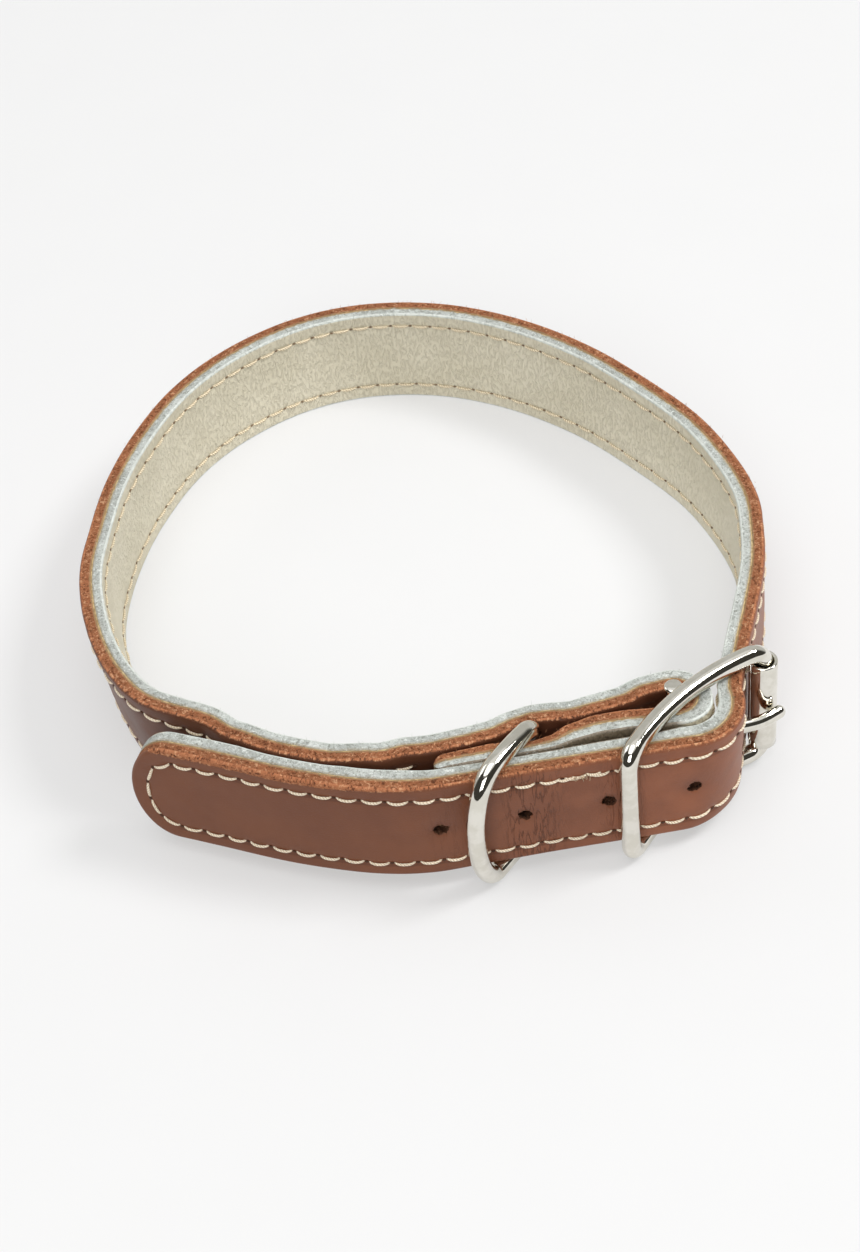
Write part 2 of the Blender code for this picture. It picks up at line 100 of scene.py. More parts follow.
KNOT_STEP = math.radians(15.0)
KNOT_GAP = 3.4 * MM
FINE_PITCH = 0.5 * MM
LIFT_START = 0.18
LIFT_LENGTH = 0.92
ROW_INSET = 3.6 * MM
STITCH_PITCH = 4.9 * MM
X_AXIS = Vector((1.0, 0.0, 0.0))
Y_AXIS = Vector((0.0, 1.0, 0.0))
Z_AXIS = Vector((0.0, 0.0, 1.0))
HALF_WIDTH = STRAP_WIDTH / 2
ROW = HALF_WIDTH - ROW_INSET
HALF_GAP = LAYER_GAP / 2
WIRE_RADIUS = WIRE_DIAMETER / 2
BAR_RADIUS = BAR_DIAMETER / 2
PRONG_RADIUS = PRONG_DIAMETER / 2
ROLLER_RADIUS = ROLLER_DIAMETER / 2
RING_DISTANCE = RING_SHARE * TAB_LENGTH
FRONT_LIFT = WIRE_DIAMETER + SEAT_GAP
MIDDLE_Z = FRONT_LIFT + HALF_WIDTH
WIRE_HALF_HEIGHT = HALF_WIDTH + SEAT_GAP + WIRE_RADIUS
ROLLER_LENGTH = 2 * (WIRE_HALF_HEIGHT - ROLLER_END_GAP)
print(f"strap {STRAP_WIDTH / MM:.0f} mm wide, wire {WIRE_DIAMETER / MM:.1f} mm thick")

# %% [markdown]
# ## The seam in plan
#
# Seen from above, the collar is nearly a line drawing: the seam is a closed-looking curve
# with a tail across the front. A smooth curve through a few measured places is enough.
# Each row holds a place as shares of the loop's half width and half depth, and how far
# the strap's lower edge stands out there, because a strap on edge never stands quite
# upright. The tab's table says how the folded end lies between the two runs.

# %% Tables of the seam
LOOP_ROWS = (
    (-0.816, -0.574, -0.100), (-0.889, -0.463, -0.130), (-0.942, -0.332, -0.125),
    (-0.982, -0.153, -0.100), (-0.996, -0.015, -0.045), (-0.983, 0.120, 0.000),
    (-0.936, 0.317, 0.000), (-0.860, 0.499, 0.000), (-0.728, 0.705, 0.000),
    (-0.563, 0.853, 0.000), (-0.344, 0.963, 0.000), (-0.123, 1.000, 0.000),
    (0.129, 0.966, 0.000), (0.364, 0.863, 0.000), (0.583, 0.698, 0.000),
    (0.755, 0.504, 0.000), (0.891, 0.312, 0.000), (0.971, 0.116, 0.000),
    (1.000, -0.035, 0.000), (0.993, -0.153, 0.000), (0.968, -0.311, 0.000),
    (0.905, -0.515, 0.000), (0.862, -0.636, 0.000),
)
FRONT_ROWS = (
    (0.668, -0.950, 0.000), (0.487, -0.962, 0.000), (0.258, -0.976, 0.000),
    (0.072, -0.989, 0.010), (-0.072, -0.997, 0.020), (-0.215, -0.979, 0.030),
    (-0.430, -0.915, 0.045), (-0.645, -0.826, 0.055), (-0.831, -0.751, 0.050),
    (-0.960, -0.700, 0.050),
)
# share of the tab, gap in front, thickness, gap behind
TAB_ROWS = (
    (0.00, 0.32, 1.00, 1.00), (0.10, 0.42, 1.00, 0.80), (0.22, 0.60, 1.00, 0.15),
    (0.32, 0.60, 1.00, 0.00), (0.42, 0.40, 0.92, 0.10), (0.52, 0.04, 0.70, 0.85),
    (0.58, 0.00, 0.62, 1.02), (0.64, 0.00, 0.62, 0.85), (0.76, 0.00, 0.86, 0.11),
    (0.88, 0.00, 0.80, 0.02), (1.00, 0.00, 0.74, 0.00),
)
# share of the free tail, share of the parting at the tab's end
PARTING_ROWS = (
    (0.00, 1.00), (0.09, 0.98), (0.21, 0.55), (0.38, 0.20), (0.55, 0.20), (0.68, 0.40),
    (0.80, 0.95),
)


# %% Smooth curves and values between the rows
def smoothstep(share):
    share = min(max(share, 0.0), 1.0)
    return share * share * (3 - 2 * share)


def table_value(rows, share, column):
    """A table's column at a share of its length, eased from row to row."""
    for low, high in zip(rows, rows[1:]):
        if share <= high[0]:
            part = smoothstep((share - low[0]) / (high[0] - low[0]))
            return low[column] + (high[column] - low[column]) * part
    return rows[-1][column]


def lift_at(y):
    """Height of the strap's lower edge: flat at the back, carried at the front."""
    half = LOOP_DEPTH / 2
    return FRONT_LIFT * smoothstep((LIFT_START * half - y) / (LIFT_LENGTH * half))


def spline(knots, pitch):
    """A smooth curve through the knots, in steps of about one pitch."""
    points = [knots[0] * 2 - knots[1], *knots, knots[-1] * 2 - knots[-2]]
    curve = []
    for a, b, c, d in zip(points, points[1:], points[2:], points[3:]):
        t1 = max((b - a).length, 1e-9) ** 0.5
        t2 = t1 + (c - b).length ** 0.5
        t3 = t2 + max((d - c).length, 1e-9) ** 0.5
        steps = max(1, round((c - b).length / pitch))
        for step in range(steps):
            t = t1 + (t2 - t1) * step / steps
            ab = a * ((t1 - t) / t1) + b * (t / t1)
            bc = b * ((t2 - t) / (t2 - t1)) + c * ((t - t1) / (t2 - t1))
            cd = c * ((t3 - t) / (t3 - t2)) + d * ((t - t2) / (t3 - t2))
            abc = ab * ((t2 - t) / t2) + bc * (t / t2)
            bcd = bc * ((t3 - t) / (t3 - t1)) + cd * ((t - t1) / (t3 - t1))
            curve.append(abc * ((t2 - t) / (t2 - t1)) + bcd * ((t - t1) / (t2 - t1)))
    curve.append(knots[-1])
    return curve


def seam_point(row):
    """A seam point: its place in plan, with the lower edge's stand-out as its z."""
    return Vector((row[0] * LOOP_WIDTH / 2, row[1] * LOOP_DEPTH / 2, row[2] * STRAP_WIDTH))


def at_height(point, z):
    return Vector((point.x, point.y, z))


def heading(angle):
    return Vector((math.cos(angle), math.sin(angle), 0.0))


def angle_of(direction):
    return math.atan2(direction.y, direction.x)


def left_of(direction):
    return Vector((-direction.y, direction.x, 0.0)).normalized()


class Curve:
    """A fine seam curve that is read by the distance along it."""

    def __init__(self, points):
        self.points = points
        self.lengths = [0.0]
        for a, b in zip(points, points[1:]):
            self.lengths.append(self.lengths[-1] + (b - a).length)

    def at(self, distance):
        """The point at a distance, and the direction square to its left."""
        index = bisect.bisect_left(self.lengths, distance) - 1
        index = min(max(index, 0), len(self.points) - 2)
        a, b = self.points[index], self.points[index + 1]
        share = (distance - self.lengths[index]) / (b - a).length
        before = self.points[max(index - 1, 0)]
        after = self.points[min(index + 2, len(self.points) - 1)]
        return a.lerp(b, share), left_of(after - before)


FRONT = Curve(spline([seam_point(row) for row in FRONT_ROWS], FINE_PITCH))
print(f"seam of the tail: {FRONT.lengths[-1] / MM:.1f} mm, of which {TAIL_LENGTH / MM:.1f} are used")

# %% [markdown]
# ## Stacking the layers at the front
#
# Between the two runs of the strap at the front lie the folded tab, the buckle's centre
# bar and the ring's straight side. Each is placed by how deep it lies behind the tail's
# seam, which keeps every layer clear of the next one however the tail curves.

# %% Depths behind the tail, and the fold round the bar
TAIL_BACK = HALF_GAP + LINING_THICKNESS
FOLD_RADIUS = BAR_RADIUS + BAR_CLEARANCE + LEATHER_THICKNESS + HALF_GAP
FOLD_OUTSIDE = FOLD_RADIUS + HALF_GAP + LINING_THICKNESS


def tab_value(distance, column):
    return table_value(TAB_ROWS, distance / TAB_LENGTH, column)


def back_gap(distance):
    opened = BAR_DIAMETER if distance < TAB_LENGTH / 4 else WIRE_DIAMETER
    return SEAT_GAP + tab_value(distance, 3) * (opened + BAR_CLEARANCE)


def tab_depth(distance):
    front_gap = SEAT_GAP + tab_value(distance, 1) * WIRE_DIAMETER
    return TAIL_BACK + front_gap + tab_value(distance, 2) * (LINING_THICKNESS + HALF_GAP)


def tab_back_depth(distance):
    return tab_depth(distance) + tab_value(distance, 2) * (LEATHER_THICKNESS + HALF_GAP)


def parting(distance):
    """Room that the tab and its gaps take between the strap's two runs."""
    if distance <= TAB_LENGTH:
        return tab_back_depth(distance) + back_gap(distance) - TAIL_BACK
    share = (distance - TAB_LENGTH) / (TAIL_LENGTH - TAB_LENGTH)
    return parting(TAB_LENGTH) * table_value(PARTING_ROWS, share, 1)


def inner_depth(distance):
    return TAIL_BACK + parting(distance) + LEATHER_THICKNESS + HALF_GAP


def behind_tail(distance, depth):
    point, outward = FRONT.at(distance)
    return point - outward * depth


BEND_RADIUS = tab_back_depth(0.0) + BAR_CLEARANCE + BAR_RADIUS
BAR_CENTRE = at_height(behind_tail(0.0, BEND_RADIUS), 0.0)
FRONT_ANGLE = angle_of(FRONT.at(0.0)[1])
INNER_END = TAB_LENGTH + PARTING_ROWS[-1][0] * (TAIL_LENGTH - TAB_LENGTH)
print(f"fold {FOLD_RADIUS / MM:.2f} mm and tail's bend {BEND_RADIUS / MM:.2f} mm round the bar")

# %% [markdown]
# ## One route for the whole strap
#
# The route runs from the tab's end, round the fold, round the neck and along the tail to
# the tip. Every station on it knows how far along the strap it is, which is the natural
# measure for stitches, holes and grain. A light smoothing takes out the small kinks where
# two stretches meet, as stiff leather would.

# %% The route from tab to tip
STATION_PITCH = 0.62 * MM
TAB_END = 2.6 * MM
TAB_END_SHARE = 0.2
TAB_END_DROP = 0.8 * MM
TIP_STEPS = 16
Station = namedtuple("Station", "point side share half along")


def arc(centre, radius, start, end, step):
    """Points round an arc, both ends included."""
    steps = max(2, round(abs(end - start) / step))
    return [centre + heading(start + (end - start) * i / steps) * radius for i in range(steps + 1)]


def stations(start, end):
    steps = max(1, round(abs(end - start) / STATION_PITCH))
    return [start + (end - start) * step / steps for step in range(steps + 1)]


def nearest(points, target):
    return min(range(len(points)), key=lambda index: (points[index] - target).length)


def drawn_in(bend):
    """Gives the bend's points the draw of their lower edge."""
    for index, point in enumerate(bend):
        point.z = -BEND_DRAW * math.sin(math.pi * index / (len(bend) - 1))
    return bend


def neck_run(pitch):
    """The seam from the left front round the neck, and its bend round the fold."""
    lead = [behind_tail(distance, inner_depth(distance))
            for distance in (INNER_END - 2 * KNOT_GAP, INNER_END - KNOT_GAP, INNER_END)]
    loop = [seam_point(row) for row in LOOP_ROWS]
    coarse = drawn_in(arc(BAR_CENTRE, BEND_RADIUS, BEND_START, FRONT_ANGLE, KNOT_STEP))
    run = spline([*lead, *loop, *coarse[:2]], pitch)
    fine = drawn_in(arc(BAR_CENTRE, BEND_RADIUS, BEND_START, FRONT_ANGLE, pitch / BEND_RADIUS))
    return run[nearest(run, lead[-1]):nearest(run, coarse[0])], fine


def tip_half_width(distance):
    share = min((TAIL_LENGTH - distance) / TIP_LENGTH, 1.0)
    return max(0.6 * MM, HALF_WIDTH * math.sqrt(1 - (1 - share) ** 2))


def smoothed(points, passes):
    for _ in range(passes):
        inner = [a * 0.25 + b * 0.5 + c * 0.25 for a, b, c in zip(points, points[1:], points[2:])]
        points = [points[0], *inner, points[-1]]
    return points


def strap_stations():
    marks = {}
    route = []
    for distance in reversed(stations(0.0, TAB_LENGTH)):
        short = max(1.0 - (TAB_LENGTH - distance) / TAB_END, 0.0)
        plump = max(math.sqrt(1.0 - short * short), TAB_END_SHARE)
        route.append((behind_tail(distance, tab_depth(distance)), tab_value(distance, 2) * plump,
                      HALF_WIDTH - TAB_END_DROP * short * short))
    marks["fold"] = len(route)
    fold = arc(BAR_CENTRE, FOLD_RADIUS, FRONT_ANGLE, FRONT_ANGLE + math.pi, STATION_PITCH / FOLD_RADIUS)
    route += [(point, 1.0, HALF_WIDTH) for point in fold[1:-1]]
    marks["inner run"] = len(route)
    inner = [(behind_tail(d, inner_depth(d)), 1.0, HALF_WIDTH) for d in stations(0.0, INNER_END)[:-1]]
    marks["past the tab"] = len(route) + round(TAB_LENGTH / STATION_PITCH)
    route += inner
    run, bend = neck_run(STATION_PITCH)
    marks["neck"] = len(route)
    route += [(point, 1.0, HALF_WIDTH) for point in [*run, *bend[:-1]]]
    marks["tail"] = len(route)
    tip_angles = [math.pi / 2 * (1 - step / TIP_STEPS) for step in range(TIP_STEPS)]
    tip = [TAIL_LENGTH - TIP_LENGTH * (1 - math.cos(angle)) for angle in tip_angles]
    for distance in [*stations(0.0, TAIL_LENGTH - TIP_LENGTH)[:-1], *tip]:
        route.append((FRONT.at(distance)[0], 1.0, tip_half_width(distance)))
    points = smoothed([item[0] for item in route], 4)
    result, along = [], 0.0
    for index, point in enumerate(points):
        before, after = points[max(index - 1, 0)], points[min(index + 1, len(points) - 1)]
        if index:
            along += (at_height(point, 0.0) - at_height(before, 0.0)).length
        result.append(Station(point, left_of(after - before), route[index][1], route[index][2], along))
    return result, {name: result[index].along for name, index in marks.items()}


STRAP, MARKS = strap_stations()
STRAP_LENGTH = STRAP[-1].along
TIP_START = STRAP_LENGTH - TIP_LENGTH
ALONGS = [station.along for station in STRAP]
print(f"strap {STRAP_LENGTH / MM:.0f} mm long in {len(STRAP)} stations;",
      {name: round(along / MM) for name, along in MARKS.items()})


# %% Any place on the strap
def on_strap(station, offset, height):
    """A point at an offset to the seam's left and a height from the strap's middle."""
    leaned = offset - station.point.z * height / STRAP_WIDTH
    place = station.point + station.side * leaned
    return at_height(place, max(0.0, lift_at(station.point.y) + HALF_WIDTH + height))


def strap_place(along, offset, height):
    index = min(max(bisect.bisect_left(ALONGS, along), 1), len(STRAP) - 1)
    low, high = STRAP[index - 1], STRAP[index]
    share = (along - low.along) / max(high.along - low.along, 1e-9)
    return on_strap(low, offset, height).lerp(on_strap(high, offset, height), share)


def roller_centre():
    run, bend = neck_run(KNOT_GAP)
    upwards = Curve([bend[0], *reversed(run)])
    point, inward = upwards.at(ROLLER_DISTANCE)
    return at_height(point - inward * (HALF_GAP + LEATHER_THICKNESS + SEAT_GAP + ROLLER_RADIUS), 0.0)


roller_box = [Vector(corner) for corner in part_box("buckle_roller")]
SHIFT = at_height((roller_box[0] + roller_box[1]) / 2 - roller_centre(), 0.0)
print("the model stands this far from the drawing, in mm:", [round(v / MM, 3) for v in SHIFT])


# %% [markdown]
# ## Materials are wired in code
#
# A material is a small diagram: patterns on one side, the shader on the other. Short
# helpers keep the wiring readable: they add a node and fill its inputs, scale a value, mix
# two colours or turn a value into a soft mask. Effects that several finishes share are
# made once as groups, with named inputs, and each finish places them with its own values.

# %% Helpers for wiring a material
def fill(tree, node, values):
    """Fills a node's inputs: another node's output is linked, anything else is set."""
    for name, value in values.items():
        if isinstance(value, bpy.types.NodeSocket):
            tree.links.new(value, node.inputs[name])
        else:
            node.inputs[name].default_value = value
    return node


def add(tree, kind, values=None, **settings):
    """Adds a node with its settings, fills its inputs and gives its outputs."""
    node = tree.nodes.new(kind)
    for name, value in settings.items():
        setattr(node, name, value)
    return fill(tree, node, values or {}).outputs


def calc(tree, operation, *values):
    """One step of arithmetic on values."""
    return add(tree, "ShaderNodeMath", dict(enumerate(values)), operation=operation)[0]


def scaled(tree, value, factor, extra=0.0):
    return calc(tree, "MULTIPLY_ADD", value, factor, extra)


def apart(tree, value, middle):
    """How far a value lies from a middle one."""
    return calc(tree, "ABSOLUTE", calc(tree, "SUBTRACT", value, middle))


def mask(tree, value, low, high):
    """0 at low, 1 at high, soft between; low may be the larger one."""
    return add(tree, "ShaderNodeMapRange", {"Value": value, "From Min": low, "From Max": high},
               interpolation_type="SMOOTHSTEP")["Result"]


def mixed(tree, share, first, second):
    """Two colours mixed by a share."""
    first, second = [value if isinstance(value, bpy.types.NodeSocket) else (*value, 1.0)
                     for value in (first, second)]
    return add(tree, "ShaderNodeMix", {0: share, 6: first, 7: second}, data_type="RGBA")[2]


def tinted(tree, color, amount, share, tint):
    """A colour with a tint over it where the amount shows, by a share."""
    return mixed(tree, scaled(tree, amount, share), color, tint)


def clouds(tree, place, scale, detail, **values):
    """Cloudy noise at a scale in repeats per metre."""
    return add(tree, "ShaderNodeTexNoise", {"Vector": place, "Scale": scale, "Detail": detail, **values})[0]


def in_space(tree):
    return add(tree, "ShaderNodeTexCoord")["Object"]


def parts_of(tree, vector):
    return add(tree, "ShaderNodeSeparateXYZ", {0: vector})


def on_map(tree, name):
    """The place that a flat map of the strap holds, and its two parts."""
    place = add(tree, "ShaderNodeUVMap", uv_map=name)[0]
    return place, *parts_of(tree, place)[:2]


def stretched(tree, place, factors):
    return add(tree, "ShaderNodeVectorMath", {0: place, 1: factors}, operation="MULTIPLY")[0]


def new_group(name, sizes, results):
    """A shader node group that takes a place and named sizes, and its two ends."""
    group = bpy.data.node_groups.new(name, "ShaderNodeTree")
    group.interface.new_socket("Place", in_out="INPUT", socket_type="NodeSocketVector")
    for labels, way in ((sizes, "INPUT"), (results, "OUTPUT")):
        for label in labels:
            group.interface.new_socket(label, in_out=way, socket_type="NodeSocketFloat")
    return group, group.nodes.new("NodeGroupInput").outputs, group.nodes.new("NodeGroupOutput")


def new_finish(name, **values):
    """A material, its tree and its shader, with the plain values set."""
    finish = bpy.data.materials.new(name)
    finish.use_nodes = True
    tree = finish.node_tree
    values = {label.replace("_", " "): value for label, value in values.items()}
    return finish, tree, fill(tree, tree.nodes["Principled BSDF"], values)


def carve(tree, shader, height, distance, strength=1.0):
    """Lets a height pattern tilt the surface."""
    bump = add(tree, "ShaderNodeBump", {"Height": height, "Distance": distance, "Strength": strength})
    fill(tree, shader, {"Normal": bump["Normal"]})


# %% Shared group: the grain of smooth leather
def make_grain_group():
    """Fine pores and slow clouds of tone, from a place on the strap in metres."""
    group, given, end = new_group("leather_grain", ("Pore size", "Cloud size"), ("Height", "Clouds", "Pores"))
    place = given["Place"]
    pores_per_metre = calc(group, "DIVIDE", 1.0, given["Pore size"])
    clouds_per_metre = calc(group, "DIVIDE", 1.0, given["Cloud size"])
    cells = add(group, "ShaderNodeTexVoronoi", {"Vector": place, "Scale": pores_per_metre})["Distance"]
    fine = clouds(group, place, pores_per_metre, 4.0)
    slow = clouds(group, place, clouds_per_metre, 5.0, Roughness=0.6)
    pores = mask(group, cells, 0.32, 0.05)
    fill(group, end, {"Height": scaled(group, pores, -0.5, fine),
                      "Clouds": mask(group, slow, 0.35, 0.65), "Pores": pores})
    return group


GRAIN = make_grain_group()
print("group made:", GRAIN.name, [item.name for item in GRAIN.interface.items_tree])


def grain_at(tree, place, pore_size, cloud_size):
    return add(tree, "ShaderNodeGroup", {"Place": place, "Pore size": pore_size, "Cloud size": cloud_size},
               node_tree=GRAIN)


# %% Shared group: the fibres of a cut edge
def make_fibre_group():
    """Loose fibres where leather was cut: a rough height, light flecks and dark gaps."""
    group, given, end = new_group("cut_fibres", ("Fibre size",), ("Height", "Flecks", "Gaps"))
    place = given["Place"]
    per_metre = calc(group, "DIVIDE", 1.0, given["Fibre size"])
    matted = clouds(group, place, per_metre, 6.0, Roughness=0.72, Distortion=0.6)
    tufts = clouds(group, place, scaled(group, per_metre, 0.45), 3.0, Distortion=1.0)
    both = scaled(group, tufts, 0.8, matted)
    fill(group, end, {"Height": both, "Flecks": mask(group, both, 0.96, 1.10),
                      "Gaps": mask(group, both, 0.88, 0.74)})
    return group


FIBRES = make_fibre_group()
print("group made:", FIBRES.name, [item.name for item in FIBRES.interface.items_tree])


def fibres_at(tree, place, size):
    return add(tree, "ShaderNodeGroup", {"Place": place, "Fibre size": size}, node_tree=FIBRES)


# %% [markdown]
# ## The tan leather
#
# The outer face is smooth dyed leather with a satin coat. It is darker in clouds, rubbed
# pale along its rounded corners, pressed in along the stitches, and creased across where
# the tail is bent most. Light and shade are also painted into its colour: the tail is
# lighter towards the buckle, partly its own tone and partly painted light from the key
# lamp on the right; the creases and a thin line under each row of stitches are painted
# dark as shade; and the face is painted dark as shade behind the tail, fading out along
# the neck's left side. Its cut edges were never finished: they show orange-brown fibres
# with pale flecks. Two materials on one mesh tell the two surfaces apart.

# %% Finish of the outer face
CUT_TAN = (0.40, 0.150, 0.066)
CUT_TAN_GAP = (0.10, 0.030, 0.012)


def make_tan_face():
    finish, tree, shader = new_finish("tan_grain", Specular_IOR_Level=0.30)
    place, run, height = on_map(tree, "strap_place")
    _, near_hole, creased = on_map(tree, "marks")
    grain = grain_at(tree, place, 0.42 * MM, 16 * MM)
    fibres = fibres_at(tree, place, 0.42 * MM)
    tail, hidden = MARKS["tail"], MARKS["past the tab"]
    # Painted light, partly the leather's own tone: the tail is coloured lighter towards the buckle, where the
    # key lamp on the right falls, and darker towards the tip.
    tone_and_painted_light = mask(tree, run, tail + 80 * MM, tail - 25 * MM)
    color = mixed(tree, tone_and_painted_light, (0.185, 0.064, 0.028), (0.325, 0.112, 0.053))
    color = tinted(tree, color, grain["Clouds"], 0.5, (0.140, 0.043, 0.018))
    # Painted shade: the tan face is darkened where it lies behind the tail and round the tab, fading out
    # along the neck's left side.
    painted_shade_behind_tail = mask(tree, run, hidden + 150 * MM, hidden + 40 * MM)
    color = tinted(tree, color, painted_shade_behind_tail, 0.75, (0.045, 0.016, 0.008))
    color = tinted(tree, color, grain["Pores"], 0.2, (0.09, 0.03, 0.015))
    across = calc(tree, "MAXIMUM", height, scaled(tree, height, -1.0, -0.9 * MM))
    worn = mask(tree, run, tail + 45 * MM, tail + 80 * MM)
    rim = scaled(tree, fibres["Height"], 0.9 * MM, scaled(tree, worn, 1.1 * MM, across))
    raw = mask(tree, rim, HALF_WIDTH + 0.45 * MM, HALF_WIDTH + 0.75 * MM)
    frayed = mixed(tree, fibres["Gaps"], CUT_TAN, CUT_TAN_GAP)
    frayed = tinted(tree, frayed, fibres["Flecks"], 0.7, (0.66, 0.37, 0.20))
    color = mixed(tree, raw, color, frayed)
    # Crease lines: sunk by the bump and rougher, and painted dark in colour as their shade.
    creases = clouds(tree, stretched(tree, place, (1.0, 0.12, 1.0)), 1000.0, 3.0, Distortion=0.3)
    creases_and_their_shade = scaled(tree, mask(tree, apart(tree, creases, 0.5), 0.036, 0.004), creased)
    color = tinted(tree, color, creases_and_their_shade, 0.6, (0.08, 0.026, 0.013))
    color = tinted(tree, color, near_hole, 0.45, (0.09, 0.03, 0.015))
    # Painted shadow: a thin dark line just under each row of stitches, stopping before the tip.
    painted_stitch_shadow = apart(tree, apart(tree, height, -0.72 * MM), ROW)
    painted_stitch_shadow = scaled(tree, mask(tree, painted_stitch_shadow, 0.42 * MM, 0.12 * MM),
                       mask(tree, run, TIP_START + 1.0 * MM, TIP_START - 1.0 * MM))
    color = tinted(tree, color, painted_stitch_shadow, 0.40, (0.06, 0.020, 0.010))
    gloss = scaled(tree, raw, 0.4, scaled(tree, grain["Clouds"], -0.08, 0.46))
    fill(tree, shader, {"Base Color": color, "Roughness": scaled(tree, creases_and_their_shade, 0.15, gloss)})
    height = scaled(tree, creases_and_their_shade, -3.0, grain["Height"])
    height = scaled(tree, scaled(tree, raw, 5.0), fibres["Height"], height)
    carve(tree, shader, height, 0.09 * MM, 0.55)
    return finish


# %% Finish of the cut edges
def make_cut_edge(name, base, fleck, gap, fibre, stain=0.0):
    """Raw cut leather: matted fibres with flecks and gaps, stained by glue near the seam."""
    finish, tree, shader = new_finish(name, Roughness=0.88, Specular_IOR_Level=0.2)
    place = in_space(tree)
    fibres = fibres_at(tree, place, fibre)
    tone = mask(tree, clouds(tree, place, 160.0, 3.0), 0.35, 0.65)
    color = mixed(tree, tone, base, [0.80 * part for part in base])
    color = tinted(tree, color, fibres["Flecks"], 0.85, fleck)
    color = tinted(tree, color, fibres["Gaps"], 0.85, gap)
    from_seam = scaled(tree, fibres["Height"], 0.5, on_map(tree, "marks")[1])
    color = tinted(tree, color, mask(tree, from_seam, 1.15, 0.65), stain, (0.56, 0.41, 0.22))
    fill(tree, shader, {"Base Color": color})
    carve(tree, shader, fibres["Height"], 0.60 * MM)
    return finish


TAN_FACE = make_tan_face()
TAN_EDGE = make_cut_edge("tan_cut_edge", CUT_TAN, (0.72, 0.41, 0.23), CUT_TAN_GAP, 0.42 * MM, 0.6)
# Painted shade: the walls of the punched holes get a very dark copy of the cut edge, for the shade inside the
# holes.
HOLE_WALL_SHADE = make_cut_edge("punched_wall_shade", (0.115, 0.046, 0.023), (0.30, 0.17, 0.10),
                          (0.020, 0.009, 0.005), 0.50 * MM)
print("finishes made:", TAN_FACE.name, TAN_EDGE.name, HOLE_WALL_SHADE.name)

# %% [markdown]
# ## Where the needle went
#
# One machine seam runs up one edge, round the tip and back along the other. The needle
# goes through both leathers, so both faces share the same holes. The places are worked
# out once, flat, as distances along and across the strap.

# %% Needle places along the seam
ROW_START = 3.0 * MM


def needle_places():
    """Flat places (along, height) one pitch apart, up one row, round the tip and back."""
    tip = [Vector((TIP_START + (TIP_LENGTH - ROW_INSET) * math.cos(angle), ROW * math.sin(angle), 0.0))
           for angle in (math.pi * (0.5 - step / 60) for step in range(61))]
    line = Curve([Vector((ROW_START, ROW, 0.0)), *tip, Vector((ROW_START, -ROW, 0.0))])
    count = round(line.lengths[-1] / STITCH_PITCH)
    return [line.at(line.lengths[-1] * (index + 0.5) / count)[0] for index in range(count)]


def tree_of(places):
    """A tree that finds the nearest of some flat places."""
    tree = kdtree.KDTree(len(places))
    for number, place in enumerate(places):
        tree.insert(place, number)
    tree.balance()
    return tree


NEEDLES = needle_places()
NEEDLE_TREE = tree_of(NEEDLES)
print(f"{len(NEEDLES)} needle holes, {STITCH_PITCH / MM:.1f} mm apart")


# %% The punched holes
def prong_bend():
    """Where the prong turns, before it lies across the roller."""
    along = heading(PRONG_TURN)
    foot = roller_centre() - left_of(along) * (ROLLER_RADIUS + SEAT_GAP + PRONG_RADIUS)
    return foot - along * PRONG_REACH


def hole_places():
    """Each hole's middle on the seam and its outward direction, the prong's first."""
    shank = (prong_bend() - BAR_CENTRE).normalized()
    places = [(BAR_CENTRE + shank * BEND_RADIUS, shank)]
    flesh_radius = BEND_RADIUS + HALF_GAP
    bend_length = flesh_radius * (angle_of(shank) - FRONT_ANGLE)
    for index in range(1, HOLE_COUNT):
        distance = HOLE_PITCH * index - bend_length
        if distance >= 0.0:
            places.append(FRONT.at(distance))
        else:
            outward = heading(FRONT_ANGLE - distance / flesh_radius)
            places.append((BAR_CENTRE + outward * BEND_RADIUS, outward))
    return places


def flat_place(hole):
    """How far along the strap a hole lies, as a flat place."""
    closest = min(STRAP[round(len(STRAP) / 2):],
                  key=lambda station: (at_height(station.point, 0.0) - at_height(hole, 0.0)).length)
    return Vector((closest.along, 0.0, 0.0))


HOLES = hole_places()
FLAT_HOLES = [flat_place(hole) for hole, _ in HOLES]
HOLE_TREE = tree_of(FLAT_HOLES)
print(f"{len(HOLES)} punched holes")

# %% [markdown]
# ## The strap's own relief
#
# Leather is not flat: thread pulls it in, punched holes sink at their rims, and the whole
# sheet waves a little. One function gives that relief at any flat place, so leather,
# lining, thread and needle holes all agree about where the surface is.

# %% Relief at a flat place on the strap
ROW_DIP = 0.45
ROW_REACH = 0.9 * MM
NEEDLE_REACH = 0.75 * MM
HOLE_DIP = 0.42 * MM
HOLE_REACH = 2.7 * MM


def edge_distance(along, height):
    """How far a flat place lies inside the strap's outline, also at the rounded tip."""
    beyond = along - TIP_START
    if beyond <= 0.0:
        return HALF_WIDTH - abs(height)
    reach = math.hypot(beyond / TIP_LENGTH, height / HALF_WIDTH)
    return math.hypot(beyond, height) * (1.0 / max(reach, 1e-6) - 1.0)


def rounding(distance, radius):
    """How much a rounded corner has dropped at a distance from the outline."""
    inward = radius - min(max(distance, 0.0), radius)
    return radius - math.sqrt(max(radius * radius - inward * inward, 0.0))


def swell(distance, width):
    return math.exp(-(distance / width) ** 2)


def ripple(flat):
    """The slow waves of the whole sheet."""
    return 0.10 * MM * noise.noise(flat * 140.0) + 0.05 * MM * noise.noise(flat * 420.0)


